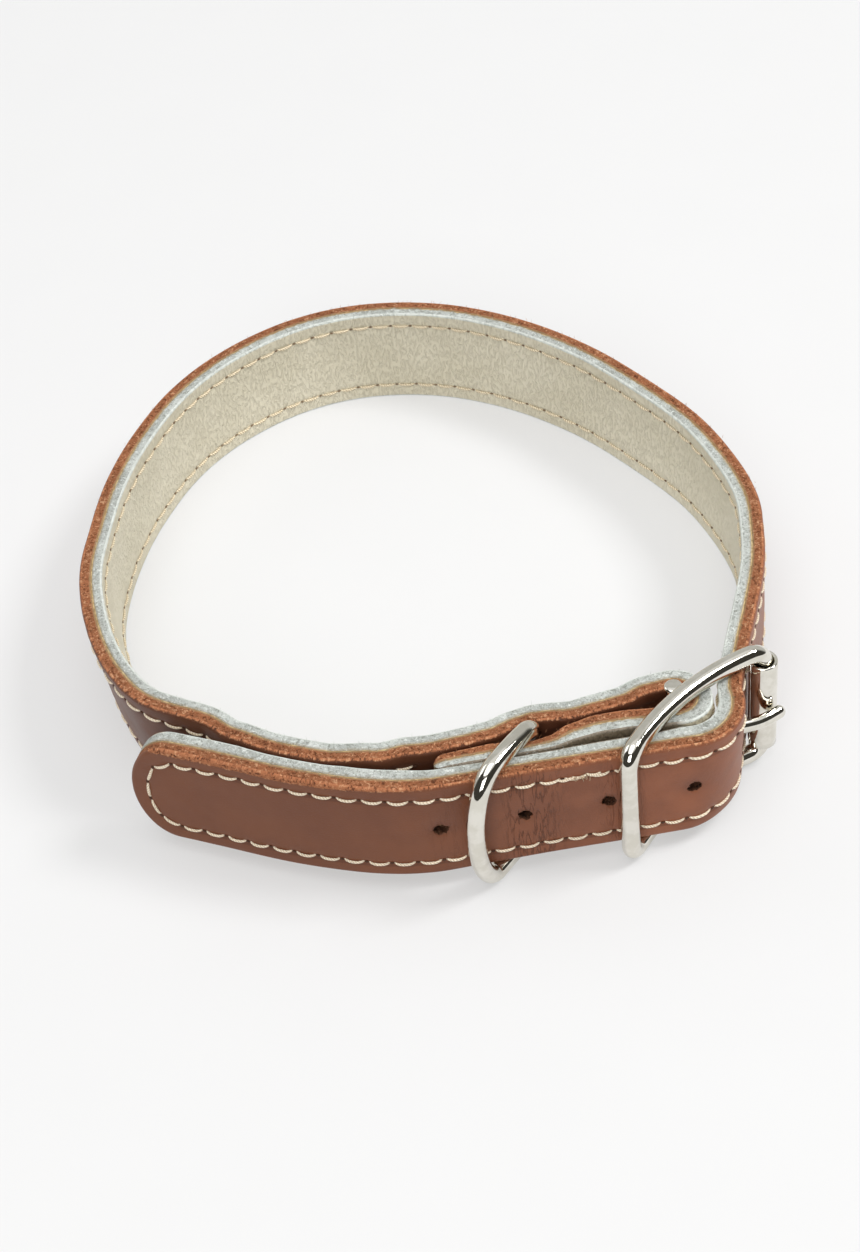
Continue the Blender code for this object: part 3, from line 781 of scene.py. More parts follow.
def relief(along, height, pull):
    """Height of the real surface over the plain one: pull is how deep the thread sinks."""
    flat = Vector((along, height, 0.0))
    inset = edge_distance(along, height)
    depth = -ROW_DIP * pull * swell(inset - ROW_INSET, ROW_REACH)
    depth -= pull * swell(NEEDLE_TREE.find(flat)[2], NEEDLE_REACH)
    depth -= HOLE_DIP * swell(HOLE_TREE.find(flat)[2], HOLE_REACH)
    return (depth + ripple(flat)) * min(inset / (1.0 * MM), 1.0)


print(f"relief at a needle hole: {relief(NEEDLES[80].x, NEEDLES[80].y, 0.22 * MM) / MM:.2f} mm")


# %% How far the soft lining swells
FREE_SWELL = 0.14 * WIRE_DIAMETER
FOLD_SWELL = 0.2 * MM
BEND_SWELL = 0.6 * MM
BEND_REACH = 18.0 * MM
EASE = 8.0 * MM


def lining_swell(along):
    """Extra thickness of the lining where it is free between two layers, or bent."""
    on_tail = along - MARKS["tail"]
    on_fold = BEND_SWELL * swell(along - MARKS["fold"] - 4.0 * MM, 3.5 * MM)
    if along < MARKS["fold"]:
        return FREE_SWELL * tab_value(TAB_LENGTH - along, 1) + on_fold
    if along < MARKS["inner run"]:
        return FOLD_SWELL + on_fold
    if on_tail < -BEND_REACH:
        return FOLD_SWELL * smoothstep((MARKS["inner run"] + 30.0 * MM - along) / (30.0 * MM))
    if on_tail < 0.0:
        return BEND_SWELL * smoothstep((on_tail + BEND_REACH) / EASE)
    if on_tail < TAB_LENGTH:
        pressed_out = BEND_SWELL * smoothstep((9.0 * MM - on_tail) / (9.0 * MM))
        return max(FREE_SWELL * tab_value(on_tail, 1), pressed_out)
    free = min(0.5 * MM, 0.4 * (parting(on_tail) - SEAT_GAP))
    return free * smoothstep((on_tail - TAB_LENGTH) / EASE)


print("lining swells, in mm:", [round(lining_swell(d * MM) / MM, 2) for d in range(0, 90, 10)])


# %% A sheet of the strap, from its outline in section
FACE_INSETS = [value * MM for value in (
    0.0, 0.06, 0.24, 0.52, 0.90, 1.5, 2.1, 2.6, 3.0, 3.3, 3.6, 3.9, 4.2, 4.7, 5.5, 6.6, 7.8,
    9.0, 10.2, 11.4, 12.5)]
CREASES = ((13.2, 3.4, 0.75), (30.0, 4.0, 1.0), (34.0, 3.0, 0.8), (48.0, 5.0, 0.25))


def crease_at(along):
    """How creased the outer face is at a distance along the tail."""
    distance = (along - MARKS["tail"]) / MM
    return min(1.0, sum(depth * swell(distance - place, width) for place, width, depth in CREASES))


def sheet_rings(near, thickness, corner, pull, swelling=None):
    """Rings round one layer with, for each point, its flat place on the strap."""
    way = math.copysign(1.0, thickness)
    heights = [-1.0 + inset / HALF_WIDTH for inset in FACE_INSETS]
    heights += [-share for share in reversed(heights[:-1])]
    for station in STRAP:
        share, half = station.share, station.half
        face = (near + thickness) * share + (way * swelling(station.along) if swelling else 0.0)
        low = near * share
        rim = face - way * corner * share
        steps = [low + (rim - low) * part for part in (0.0, 0.34, 0.68)]
        ring = []
        for end in (-1, 1):
            for offset in steps[::-end]:
                grain = Vector((station.along, offset * 3, end)) * 700.0
                fray = 0.20 * MM * noise.noise(grain) + 0.14 * MM * noise.noise(grain * 2.3)
                ring.append((offset, end * (half + fray * (half > 3 * MM))))
            for level in [height * half for height in heights if end < 0]:
                drop = rounding(edge_distance(station.along, level), corner)
                wave = relief(station.along, level, pull) * share
                ring.append((face - way * drop * share + way * wave, level))
        yield station, ring


def build_sheet(name, rings, finishes, node):
    """Skins the rings: slot 0 of the finishes is the face, slot 1 the cut edges."""
    builder = bmesh.new()
    place = builder.loops.layers.uv.new("strap_place")
    marks = builder.loops.layers.uv.new("marks")
    loops = []
    for station, ring in rings:
        corners = []
        for offset, height in ring:
            vertex = builder.verts.new(on_strap(station, offset, height))
            near_hole = swell(HOLE_TREE.find(Vector((station.along, height, 0.0)))[2], 2.0 * MM)
            corners.append((vertex, (station.along, height), abs(offset) / MM, near_hole,
                            crease_at(station.along)))
        loops.append(corners)
    count = len(loops[0])
    for low, high in zip(loops, loops[1:]):
        for index in range(count):
            after = (index + 1) % count
            corners = (low[index], low[after], high[after], high[index])
            face = builder.faces.new([corner[0] for corner in corners])
            face.smooth = True
            on_edge = index < 3 or index >= count - 4
            face.material_index = 1 if on_edge else 0
            for loop, (_, flat, from_seam, near_hole, creased) in zip(face.loops, corners):
                loop[place].uv = flat
                loop[marks].uv = (from_seam if on_edge else near_hole, creased)
    for cap in (reversed(loops[0]), loops[-1]):
        builder.faces.new([corner[0] for corner in cap]).material_index = 1
    return new_piece(name, builder, finishes, node)


def new_object(name, builder, finishes):
    """An object of the scene from a finished builder."""
    mesh = bpy.data.meshes.new(name)
    builder.to_mesh(mesh)
    builder.free()
    for finish in finishes:
        mesh.materials.append(finish)
    item = bpy.data.objects.new(name, mesh)
    bpy.context.scene.collection.objects.link(item)
    return item


def new_solid(name, builder, finishes):
    """A closed object, moved from the drawing to where the model stands."""
    bmesh.ops.recalc_face_normals(builder, faces=builder.faces)
    item = new_object(name, builder, finishes)
    item.data.transform(Matrix.Translation(SHIFT))
    return item


def new_piece(name, builder, finishes, node=None):
    """A named piece that rides with the collar, and stands for a plain node if it has one."""
    piece = new_solid(name, builder, finishes)
    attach(piece, "root")
    if node:
        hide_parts(node)
    print(f"{name}: {sum(len(face.vertices) - 2 for face in piece.data.polygons)} triangles")
    return piece


# %% The leather itself
leather = build_sheet(
    "tan_strap", sheet_rings(HALF_GAP, LEATHER_THICKNESS, 0.7 * MM, 0.20 * MM),
    [TAN_FACE, TAN_EDGE, HOLE_WALL_SHADE], "strap_leather")

# %% [markdown]
# ## The lining and the glue
#
# The lining is soft leather, a little thinner than the tan one. It lies on the inside of
# every bend, so it is pushed together into fine wrinkles across the strap, whose valleys
# are painted a little darker as shade. Its raw edge is a fuzzy grey-white band, and its
# faces are painted dark as shade where they lie shut between other layers.
# Between the two leathers a thread of dried glue shows as a thin yellow line.

# %% Finish of the lining's face
def make_lining_face():
    finish, tree, shader = new_finish("cream_grain", Roughness=0.6, Specular_IOR_Level=0.35)
    place, run, height = on_map(tree, "strap_place")
    grain = grain_at(tree, place, 0.6 * MM, 20 * MM)
    wrinkles = clouds(tree, stretched(tree, place, (1.0, 0.38, 1.0)), 1600.0, 3.0,
                      Roughness=0.55, Distortion=0.2)
    wrinkle_valleys_and_shade = mask(tree, wrinkles, 0.54, 0.36)
    color = mixed(tree, grain["Clouds"], (0.67, 0.62, 0.48), (0.73, 0.68, 0.54))
    # Painted shade: the wrinkles' valleys are tinted a little darker as well as sunk by the bump.
    color = tinted(tree, color, wrinkle_valleys_and_shade, 0.10, (0.52, 0.46, 0.33))
    rim = scaled(tree, grain["Height"], 0.3 * MM, calc(tree, "ABSOLUTE", height))
    rim = mask(tree, rim, HALF_WIDTH - 0.40 * MM, HALF_WIDTH - 0.20 * MM)
    color = mixed(tree, rim, color, (0.64, 0.67, 0.63))
    # Painted shade: the lining's faces are darkened where they lie shut in the narrow gaps of tab, fold and
    # tail.
    fold, tail, ease = MARKS["fold"], MARKS["tail"], 2.0 * MM
    under_tab = mask(tree, apart(tree, run, tail), TAB_LENGTH, 0.8 * TAB_LENGTH)
    on_tab = mask(tree, run, fold + ease, fold - ease)
    on_tail = mask(tree, run, tail - ease, tail + ease)
    painted_gap_shade = scaled(tree, calc(tree, "MAXIMUM", under_tab, on_tab), calc(tree, "MAXIMUM", on_tab, on_tail))
    color = tinted(tree, color, painted_gap_shade, 0.85, (0.16, 0.11, 0.06))
    fill(tree, shader, {"Base Color": color})
    carve(tree, shader, scaled(tree, wrinkle_valleys_and_shade, -2.2, grain["Height"]), 0.16 * MM, 0.7)
    return finish


LINING_FACE = make_lining_face()
LINING_EDGE = make_cut_edge("cream_cut_edge", (0.66, 0.69, 0.65), (0.90, 0.93, 0.89),
                            (0.30, 0.31, 0.27), 0.38 * MM, 0.35)
lining = build_sheet(
    "cream_lining", sheet_rings(-HALF_GAP, -LINING_THICKNESS, 0.45 * MM, 0.26 * MM, lining_swell),
    [LINING_FACE, LINING_EDGE, HOLE_WALL_SHADE], "strap_lining")


# %% Solids through rings of points
def add_skin(builder, rings, closed=False, material_index=0):
    """A solid through equal rings of points, capped unless it closes on itself."""
    loops = [[builder.verts.new(point) for point in ring] for ring in rings]
    pairs = list(zip(loops, loops[1:]))
    if closed:
        pairs.append((loops[-1], loops[0]))
    faces = []
    for low, high in pairs:
        for index in range(len(low)):
            after = (index + 1) % len(low)
            faces.append(builder.faces.new((low[index], low[after], high[after], high[index])))
    if not closed:
        faces += [builder.faces.new(loops[0][::-1]), builder.faces.new(loops[-1])]
    for face in faces:
        face.smooth = True
        face.material_index = material_index
    return faces


def circle(centre, across, up, radius, sides):
    turns = [2 * math.pi * (step + 0.5) / sides for step in range(sides)]
    return [centre + across * (radius * math.cos(t)) + up * (radius * math.sin(t)) for t in turns]


# %% The line of glue
GLUE_INSET = 0.18 * MM
GLUE_BITE = 0.02 * MM


def make_glue():
    finish, tree, shader = new_finish("dried_glue", Roughness=0.5)
    lumps = clouds(tree, in_space(tree), 900.0, 3.0)
    color = mixed(tree, mask(tree, lumps, 0.4, 0.6), (0.40, 0.27, 0.11), (0.60, 0.46, 0.24))
    fill(tree, shader, {"Base Color": color})
    carve(tree, shader, lumps, 0.1 * MM)
    rings = []
    for station in STRAP[:-3]:
        wave = 0.12 * MM * noise.noise(Vector((station.along * 600, 0, 5)))
        inset = station.half - GLUE_INSET - wave
        width = (HALF_GAP + GLUE_BITE) * station.share
        corners = ((-width, -inset), (width, -inset), (width, inset), (-width, inset))
        rings.append([on_strap(station, *corner) for corner in corners])
    builder = bmesh.new()
    for face in add_skin(builder, rings):
        face.smooth = False
    return new_piece("glue_line", builder, [finish])


glue = make_glue()

# %% [markdown]
# ## Punching the holes
#
# The real holes are punched after sewing, and the tip of the punch leaves them slightly
# ragged. Cutting both leathers with a rough-sided rod does the same. The slot in the fold,
# in which the prong turns, is cut in the same way.

# %% Cutters for holes and slot
ROD_TOP = 6.2 * MM
ROD_STEPS = 14
ROD_SIDES = 20


def make_cutters():
    builder = bmesh.new()
    for number, (point, outward) in enumerate(HOLES):
        rings = []
        lowest = -TAIL_BACK - 0.25 * MM - lining_swell(FLAT_HOLES[number].x)
        for depth in [lowest + (ROD_TOP - lowest) * step / ROD_STEPS for step in range(ROD_STEPS + 1)]:
            middle = at_height(point + outward * depth, MIDDLE_Z)
            ring = []
            for step in range(ROD_SIDES):
                turn = heading(2 * math.pi * step / ROD_SIDES)
                rough = 0.30 * noise.noise(Vector((turn.x * 1.7 + number * 9, turn.y * 1.7, depth * 900)))
                rough += 0.26 * noise.noise(Vector((turn.x * 4 + number * 9, turn.y * 4, depth * 900)))
                radius = HOLE_DIAMETER / 2 * (0.80 + rough)
                ring.append(middle + left_of(outward) * (radius * 1.08 * turn.x)
                            + Z_AXIS * (radius * 0.95 * turn.y))
            rings.append(ring)
        add_skin(builder, rings, material_index=2)
    half = PRONG_RADIUS + SLOT_CLEARANCE
    reach = (FOLD_OUTSIDE + BEND_RADIUS - TAIL_BACK) / 2
    add_skin(builder, [circle(at_height(BAR_CENTRE, z), X_AXIS, Y_AXIS, reach, 48)
                       for z in (MIDDLE_Z - half, MIDDLE_Z + half)], material_index=1)
    return new_solid("punch", builder, (TAN_FACE, TAN_EDGE, HOLE_WALL_SHADE))


def punched(piece, punch):
    """Cuts a piece with the punch and keeps the result as its mesh."""
    modifier = piece.modifiers.new("punch", "BOOLEAN")
    modifier.operation, modifier.solver, modifier.object = "DIFFERENCE", "EXACT", punch
    depsgraph = bpy.context.evaluated_depsgraph_get()
    cut = bpy.data.meshes.new_from_object(piece.evaluated_get(depsgraph), depsgraph=depsgraph)
    piece.modifiers.clear()
    old, piece.data = piece.data, cut
    bpy.data.meshes.remove(old)
    print(f"{piece.name} punched: {len(cut.polygons)} faces")


punch = make_cutters()
for piece in (leather, lining, glue):
    punched(piece, punch)
bpy.data.objects.remove(punch)

# %% [markdown]
# ## The seam's thread
#
# The thread is thick, cream and tightly laid. On each face it comes up out of one needle
# hole, sags a little towards the floor as a lockstitch does, and dives into the next. Each
# stitch is a short bent rope of its own. Between them, small dark lenses over the needle
# holes are painted shade for the holes.

# %% Finish of the thread and of the painted shade in the needle holes
def make_thread(name, light, dark):
    finish, tree, shader = new_finish(name, Roughness=0.62, Specular_IOR_Level=0.3)
    turn = on_map(tree, "thread_turn")[0]
    waves = add(tree, "ShaderNodeTexWave", {"Vector": turn, "Scale": 0.5, "Distortion": 0.6},
                wave_type="BANDS", bands_direction="DIAGONAL")[1]
    lint = clouds(tree, in_space(tree), 2600.0, 3.0)
    color = mixed(tree, mask(tree, waves, 0.35, 0.05), light, dark)
    color = mixed(tree, mask(tree, lint, 0.55, 0.75), color, [0.8 * part for part in light])
    fill(tree, shader, {"Base Color": color})
    carve(tree, shader, scaled(tree, lint, 0.35, waves), 0.12 * MM, 0.8)
    return finish


def make_speckled(name, scale, dark, light, **values):
    """A plain finish that wavers between two tones."""
    finish, tree, shader = new_finish(name, **values)
    fill(tree, shader, {"Base Color": mixed(tree, clouds(tree, in_space(tree), scale, 2.0), dark, light)})
    return finish


def make_pit(name, dark, light):
    return make_speckled(name, 3000.0, dark, light, Roughness=0.9)


THREAD = make_thread("cream_thread", (0.95, 0.84, 0.66), (0.62, 0.46, 0.30))
INNER_THREAD = make_thread("inner_thread", (0.90, 0.80, 0.60), (0.42, 0.29, 0.15))
# Painted shade: the lenses over the needle holes are dark for the shade in the holes.
NEEDLE_HOLE_SHADE = make_pit("needle_hole_shade", (0.04, 0.015, 0.008), (0.11, 0.045, 0.022))
INNER_NEEDLE_HOLE_SHADE = make_pit("lining_needle_hole_shade", (0.10, 0.06, 0.03), (0.32, 0.22, 0.13))
print("finishes made:", THREAD.name, INNER_THREAD.name, NEEDLE_HOLE_SHADE.name, INNER_NEEDLE_HOLE_SHADE.name)

# %% Stitches on both faces
THREAD_RADIUS = 0.31 * MM
THREAD_STEPS = 10
THREAD_SIDES = 8
THREAD_SAG = 0.42 * MM
THREAD_LIFT = 0.10 * MM
THREAD_DIVE = 0.62 * MM
OUTER_FACE = HALF_GAP + LEATHER_THICKNESS
INNER_FACE = -HALF_GAP - LINING_THICKNESS
TIGHT_FROM = 0.46 * TAB_LENGTH


def outer_shows(along):
    """The tan face is open to view beyond the tab."""
    return along > MARKS["past the tab"]


def inner_shows(along):
    """The lining is open except where tab and tail press on each other."""
    on_tail = along - MARKS["tail"]
    return along > TAB_LENGTH - TIGHT_FROM and not TIGHT_FROM < on_tail < TAB_LENGTH


def face_point(flat, way, above):
    """A point over the real surface at a flat place; way is 1 outside and -1 inside."""
    face = OUTER_FACE if way > 0 else INNER_FACE - lining_swell(flat.x)
    return strap_place(flat.x, face + way * (ripple(flat) + above), flat.y)


def out_of_face(flat, way):
    return (face_point(flat, way, 1.0 * MM) - face_point(flat, way, 0.0)).normalized()


def ahead_at(line, index):
    """The way a line of points runs at one of them."""
    return (line[min(index + 1, len(line) - 1)] - line[max(index - 1, 0)]).normalized()


def add_stitch(builder, turns, start, end, way, seed):
    """One bent rope of thread from needle hole to needle hole."""
    rough = [noise.noise(Vector((seed * 3.7, step * 1.9, way))) for step in range(3)]
    straight = abs(end.x - start.x) / max((end - start).length, 1e-9)
    sag = (THREAD_SAG + 0.16 * MM * rough[0]) * straight * (1.0 if way > 0 else 0.35)
    lift = THREAD_LIFT + 0.05 * MM * rough[1]
    centres = []
    for part in [step / THREAD_STEPS for step in range(THREAD_STEPS + 1)]:
        hump = math.sin(math.pi * part)
        flat = start.lerp(end, 0.05 + 0.90 * part)
        flat.y -= sag * (hump - 0.35) - 0.10 * MM * rough[2]
        centres.append(face_point(flat, way, lift - (THREAD_DIVE + lift) * (1 - hump) ** 2.6))
    rings = []
    for index, centre in enumerate(centres):
        ahead = ahead_at(centres, index)
        flat = start.lerp(end, index / THREAD_STEPS)
        across = ahead.cross(out_of_face(flat, way)).normalized()
        up = across.cross(ahead).normalized()
        plump = THREAD_RADIUS * (0.62 + 0.40 * math.sin(math.pi * index / THREAD_STEPS))
        rings.append(circle(centre, across * 1.12, up * 0.86, plump, THREAD_SIDES))
    faces = add_skin(builder, rings)
    for number, face in enumerate(faces[:-2]):
        ring, side = divmod(number, THREAD_SIDES)
        for loop, (u, v) in zip(face.loops, ((0, 0), (0, 1), (1, 1), (1, 0))):
            loop[turns].uv = ((ring + u) * 0.9, (side + v) / THREAD_SIDES * 3.0)


def add_pit(builder, flat, along, way):
    """A small dark lens of painted shade that lies in the surface over a needle hole, smaller on the lining.
    """
    centre, outward = face_point(flat, way, -0.16 * MM), out_of_face(flat, way)
    across = along.cross(outward).normalized()
    wide, tall = (0.46 * MM, 0.34 * MM) if way > 0 else (0.36 * MM, 0.26 * MM)
    add_skin(builder, [circle(centre + outward * (level * MM), along * wide, across * tall, share, 8)
                       for level, share in ((-0.14, 0.55), (0.0, 1.0), (0.12, 0.72), (0.17, 0.30))])


def make_seam(name, way, finish, pit_finish, shows):
    """All stitches of one face, and the dark lenses of painted shade over the needle holes between them."""
    stitches, pits = bmesh.new(), bmesh.new()
    turns = stitches.loops.layers.uv.new("thread_turn")
    for number, (start, end) in enumerate(zip(NEEDLES, NEEDLES[1:])):
        if shows(start.x) and shows(end.x):
            add_stitch(stitches, turns, start, end, way, number)
            along = (face_point(end, way, 0.0) - face_point(start, way, 0.0)).normalized()
            add_pit(pits, start, along, way)
    new_piece(name + "_stitches", stitches, [finish])
    new_piece(name + "_needle_hole_shades", pits, [pit_finish])


make_seam("outer", 1.0, THREAD, NEEDLE_HOLE_SHADE, outer_shows)
make_seam("inner", -1.0, INNER_THREAD, INNER_NEEDLE_HOLE_SHADE, inner_shows)

# %% [markdown]
# ## Where the seam was finished off
#
# The sewer ends the seam by going back over a few stitches, and the cut thread frays.
# That place shows on the tail's upper row, beside the ring: stitches lie double there and
# loose ends stand out. Without it the seam would look printed.

# %% The doubled stitches and their loose ends
BACKTACK_FROM = 17.0 * MM
DOUBLED_STITCHES = 3
DOUBLED_PITCH = 2.9 * MM
DOUBLED_LENGTH = 3.6 * MM
LOOSE_ENDS = 26


def tosses(first, second_step, third, count):
    """Scattered values between -1 and 1 that are the same in every run."""
    return [noise.noise(Vector((first, part * second_step, third))) for part in range(count)]


def add_hair(builder, line, radii, sides):
    """A bent hair through a few points, as thick at each as its radius says."""
    rings = []
    for index, (centre, radius) in enumerate(zip(line, radii)):
        ahead = ahead_at(line, index)
        across = ahead.orthogonal().normalized()
        rings.append(circle(centre, across, ahead.cross(across), radius, sides))
    add_skin(builder, rings)


def make_backtack():
    builder = bmesh.new()
    turns = builder.loops.layers.uv.new("thread_turn")
    first = MARKS["tail"] + BACKTACK_FROM
    for number in range(DOUBLED_STITCHES):
        start = Vector((first + number * DOUBLED_PITCH, ROW + 0.28 * MM - 0.1 * MM * number, 0.0))
        end = start + Vector((DOUBLED_LENGTH, 0.15 * MM * (1 - number), 0.0))
        add_stitch(builder, turns, start, end, 1.0, 500 + number)
    radii = [(0.07 - 0.02 * index) * MM for index in range(3)]
    for number in range(LOOSE_ENDS):
        toss = tosses(number * 7.3, 3.1, 2.0, 5)
        root = Vector((first + (4.4 + 6.0 * toss[0]) * MM, ROW + 0.9 * MM * toss[1], 0.0))
        tip = root + Vector((2.2 * toss[2], 1.8 * toss[3], 0.0)) * MM
        middle = root.lerp(tip, 0.5) + Vector((0.5 * toss[4], 0.6 * toss[0], 0.0)) * MM
        add_hair(builder, [face_point(root, 1.0, 0.0), face_point(middle, 1.0, 0.55 * MM),
                           face_point(tip, 1.0, 0.35 * MM)], radii, 5)
    return new_piece("backtack_thread", builder, [THREAD])


make_backtack()

# %% [markdown]
# ## Loose fibres along the cut edges
#
# Where leather is cut and left raw, single fibres stand out of the edge. They are too thin
# to count, but along the outline they are what makes an edge look like leather and not
# like painted clay. Each is a short bent hair, thinner towards its end.

# %% Hairs on the upper edges
HAIR_PITCH = 0.55 * MM
HAIR_RADIUS = 0.040 * MM


def make_hairs(layer, way, thickness, color):
    """Short bent hairs that stand out of one layer's upper edge."""
    finish = make_speckled(layer + "_fibre", 700.0, [0.6 * part for part in color], color,
                           Roughness=0.85, Specular_IOR_Level=0.2)
    builder = bmesh.new()
    near = way * HALF_GAP
    radii = [HAIR_RADIUS * (1.0 - 0.35 * index) for index in range(3)]
    for number in range(int((TIP_START - 2.0 * MM) / HAIR_PITCH)):
        toss = tosses(number * 5.7, 3.3, near * 9000.0, 6)
        along = number * HAIR_PITCH + (1.0 + toss[0]) * MM
        depth = near + way * thickness * (0.5 + 0.9 * toss[1])
        lean = Vector((1.1 * toss[2], 0.9 * toss[3], 0.0)) * MM
        length = (0.42 + 0.55 * toss[4]) * MM
        add_hair(builder, [
            strap_place(along, depth, HALF_WIDTH - 0.25 * MM),
            strap_place(along + 0.4 * lean.x, depth + 0.2 * lean.y, HALF_WIDTH + 0.6 * length),
            strap_place(along + lean.x, depth + lean.y, HALF_WIDTH + length * (0.8 + toss[5])),
        ], radii, 4)
    return new_piece(layer + "_fibres", builder, [finish])


make_hairs("tan", 1.0, LEATHER_THICKNESS, (0.62, 0.32, 0.17))
make_hairs("cream", -1.0, LINING_THICKNESS, (0.80, 0.82, 0.78))

# %% [markdown]
# ## The hardware
#
# Frame, ring and prong are bent from round steel wire and nickel-plated after bending, so
# their corners are soft and their tone is a warm, slightly yellow silver. Each is a circle
# swept along a bent line. The plating is polished but not perfect: faint cloudiness and
# fine rubbing marks break up the reflections.

# %% Finish of the nickel plate
def make_nickel():
    finish, tree, shader = new_finish("polished_nickel", Metallic=1.0)
    place = in_space(tree)
    haze = clouds(tree, place, 260.0, 4.0, Roughness=0.6)
    rubs = clouds(tree, stretched(tree, place, (1.0, 1.0, 0.12)), 5200.0, 2.0)
    color = mixed(tree, mask(tree, haze, 0.4, 0.62), (0.70, 0.675, 0.60), (0.78, 0.755, 0.69))
    gloss = scaled(tree, mask(tree, rubs, 0.62, 0.72), 0.06, scaled(tree, haze, 0.06, 0.03))
    fill(tree, shader, {"Base Color": color, "Roughness": gloss})
    carve(tree, shader, scaled(tree, rubs, 0.25, haze), 0.04 * MM, 0.5)
    return finish


NICKEL = make_nickel()


# %% Bending wire along a wall
WIRE_SIDES = 28
ROD_ROUND = 36
BEND_STEPS = 10
WIRE_PITCH = 0.8 * MM


def corner(x, z, start):
    """A quarter bend of the wire: (distance, height) points, turning clockwise."""
    angles = [start - math.pi / 2 * step / BEND_STEPS for step in range(BEND_STEPS + 1)]
    return [(x + WIRE_BEND * math.cos(a), z + WIRE_BEND * math.sin(a)) for a in angles]


def bar_corners():
    level = WIRE_HALF_HEIGHT - WIRE_BEND
    return corner(WIRE_BEND, -level, math.pi * 1.5) + corner(WIRE_BEND, level, math.pi)


def divided(points, longest):
    result = []
    for (x0, z0), (x1, z1) in zip(points, points[1:] + points[:1]):
        steps = max(1, math.ceil(math.hypot(x1 - x0, z1 - z0) / longest))
        for step in range(steps):
            result.append((x0 + (x1 - x0) * step / steps, z0 + (z1 - z0) * step / steps))
    return result


def wire_rings(outline, wall):
    """Rings of a closed wire on an upright wall, which gives a point and its square."""
    spine = []
    for distance, height in divided(outline, WIRE_PITCH):
        point, square = wall(distance)
        spine.append((at_height(point, MIDDLE_Z + height), square))
    rings = []
    for index, (centre, square) in enumerate(spine):
        ahead = spine[(index + 1) % len(spine)][0] - spine[index - 1][0]
        across = ahead.cross(square).normalized()
        rings.append(circle(centre, square, across, WIRE_RADIUS, WIRE_SIDES))
    return rings


def rod_rings(centre, radius, low, high, dome):
    """An upright rod with domed ends."""
    ends = ((0.0, 0.45), (0.18, 0.80), (0.55, 0.96), (1.0, 1.0))
    steps = [(low + dome * level, share) for level, share in ends]
    steps += [(high - dome * level, share) for level, share in reversed(ends)]
    return [circle(at_height(centre, z), X_AXIS, Y_AXIS, radius * share, ROD_ROUND) for z, share in steps]


# %% The frame and its centre bar
def outside_tail(point, outward, radius):
    stand_off = HALF_GAP + LEATHER_THICKNESS + SEAT_GAP + radius
    return at_height(point + outward * stand_off, 0.0)


def circle_through(a, b, c):
    """Centre and radius of the circle through three plan points."""
    ab, ac = b - a, c - a
    cross = 2 * (ab.x * ac.y - ab.y * ac.x)
    offset = Vector((ac.y * ab.length_squared - ab.y * ac.length_squared,
                     ab.x * ac.length_squared - ac.x * ab.length_squared, 0.0)) / cross
    return a + offset, offset.length


def make_frame():
    keeper, roller = outside_tail(*FRONT.at(KEEPER_DISTANCE), WIRE_RADIUS), roller_centre()
    weld = BAR_CENTRE - left_of(roller - keeper) * (BAR_RADIUS + WIRE_RADIUS - WELD_BITE)
    centre, radius = circle_through(keeper, weld, roller)
    start = angle_of(keeper - centre)
    turn = math.remainder(angle_of(roller - centre) - start, 2 * math.pi)
    length = abs(turn) * radius

    def wall(distance):
        spoke = heading(start + turn * distance / length)
        return centre + spoke * radius, spoke

    level, far = WIRE_HALF_HEIGHT - WIRE_BEND, length - WIRE_BEND
    outline = bar_corners() + corner(far, level, math.pi / 2) + corner(far, -level, 0.0)
    builder = bmesh.new()
    add_skin(builder, wire_rings(outline, wall), closed=True)
    half = WIRE_HALF_HEIGHT + BAR_END_STANDOUT
    add_skin(builder, rod_rings(BAR_CENTRE, BAR_RADIUS, MIDDLE_Z - half, MIDDLE_Z + half, 0.5 * MM))
    return new_piece("bent_wire_frame", builder, [NICKEL], "buckle_frame")


make_frame()


# %% The roller, rolled from sheet round the end of the frame
ROLLED = math.radians(354.0)
ROLLED_STEPS = 64


def make_roller():
    centre = roller_centre()
    half = ROLLER_LENGTH / 2
    inside = ROLLER_RADIUS - ROLLER_WALL
    soft = 0.16 * MM
    profile = [(ROLLER_RADIUS - soft, -half), (ROLLER_RADIUS, -half + soft)]
    profile += [(ROLLER_RADIUS, -half + 2 * half * step / 12) for step in range(1, 12)]
    profile += [(ROLLER_RADIUS, half - soft), (ROLLER_RADIUS - soft, half),
                (inside + soft, half), (inside, half - soft), (inside, -half + soft),
                (inside + soft, -half)]
    seam = angle_of(BAR_CENTRE - centre) + (2 * math.pi - ROLLED) / 2
    rings = []
    for step in range(ROLLED_STEPS + 1):
        spoke = heading(seam + ROLLED * step / ROLLED_STEPS)
        rings.append([at_height(centre + spoke * radius, MIDDLE_Z + z) for radius, z in profile])
    builder = bmesh.new()
    add_skin(builder, rings)
    return new_piece("rolled_tube", builder, [NICKEL], "buckle_roller")


make_roller()


# %% The prong: an eye round the bar, a shank through the strap, a bent tip
EYE_STEPS = 48
PRONG_SIDES = 18


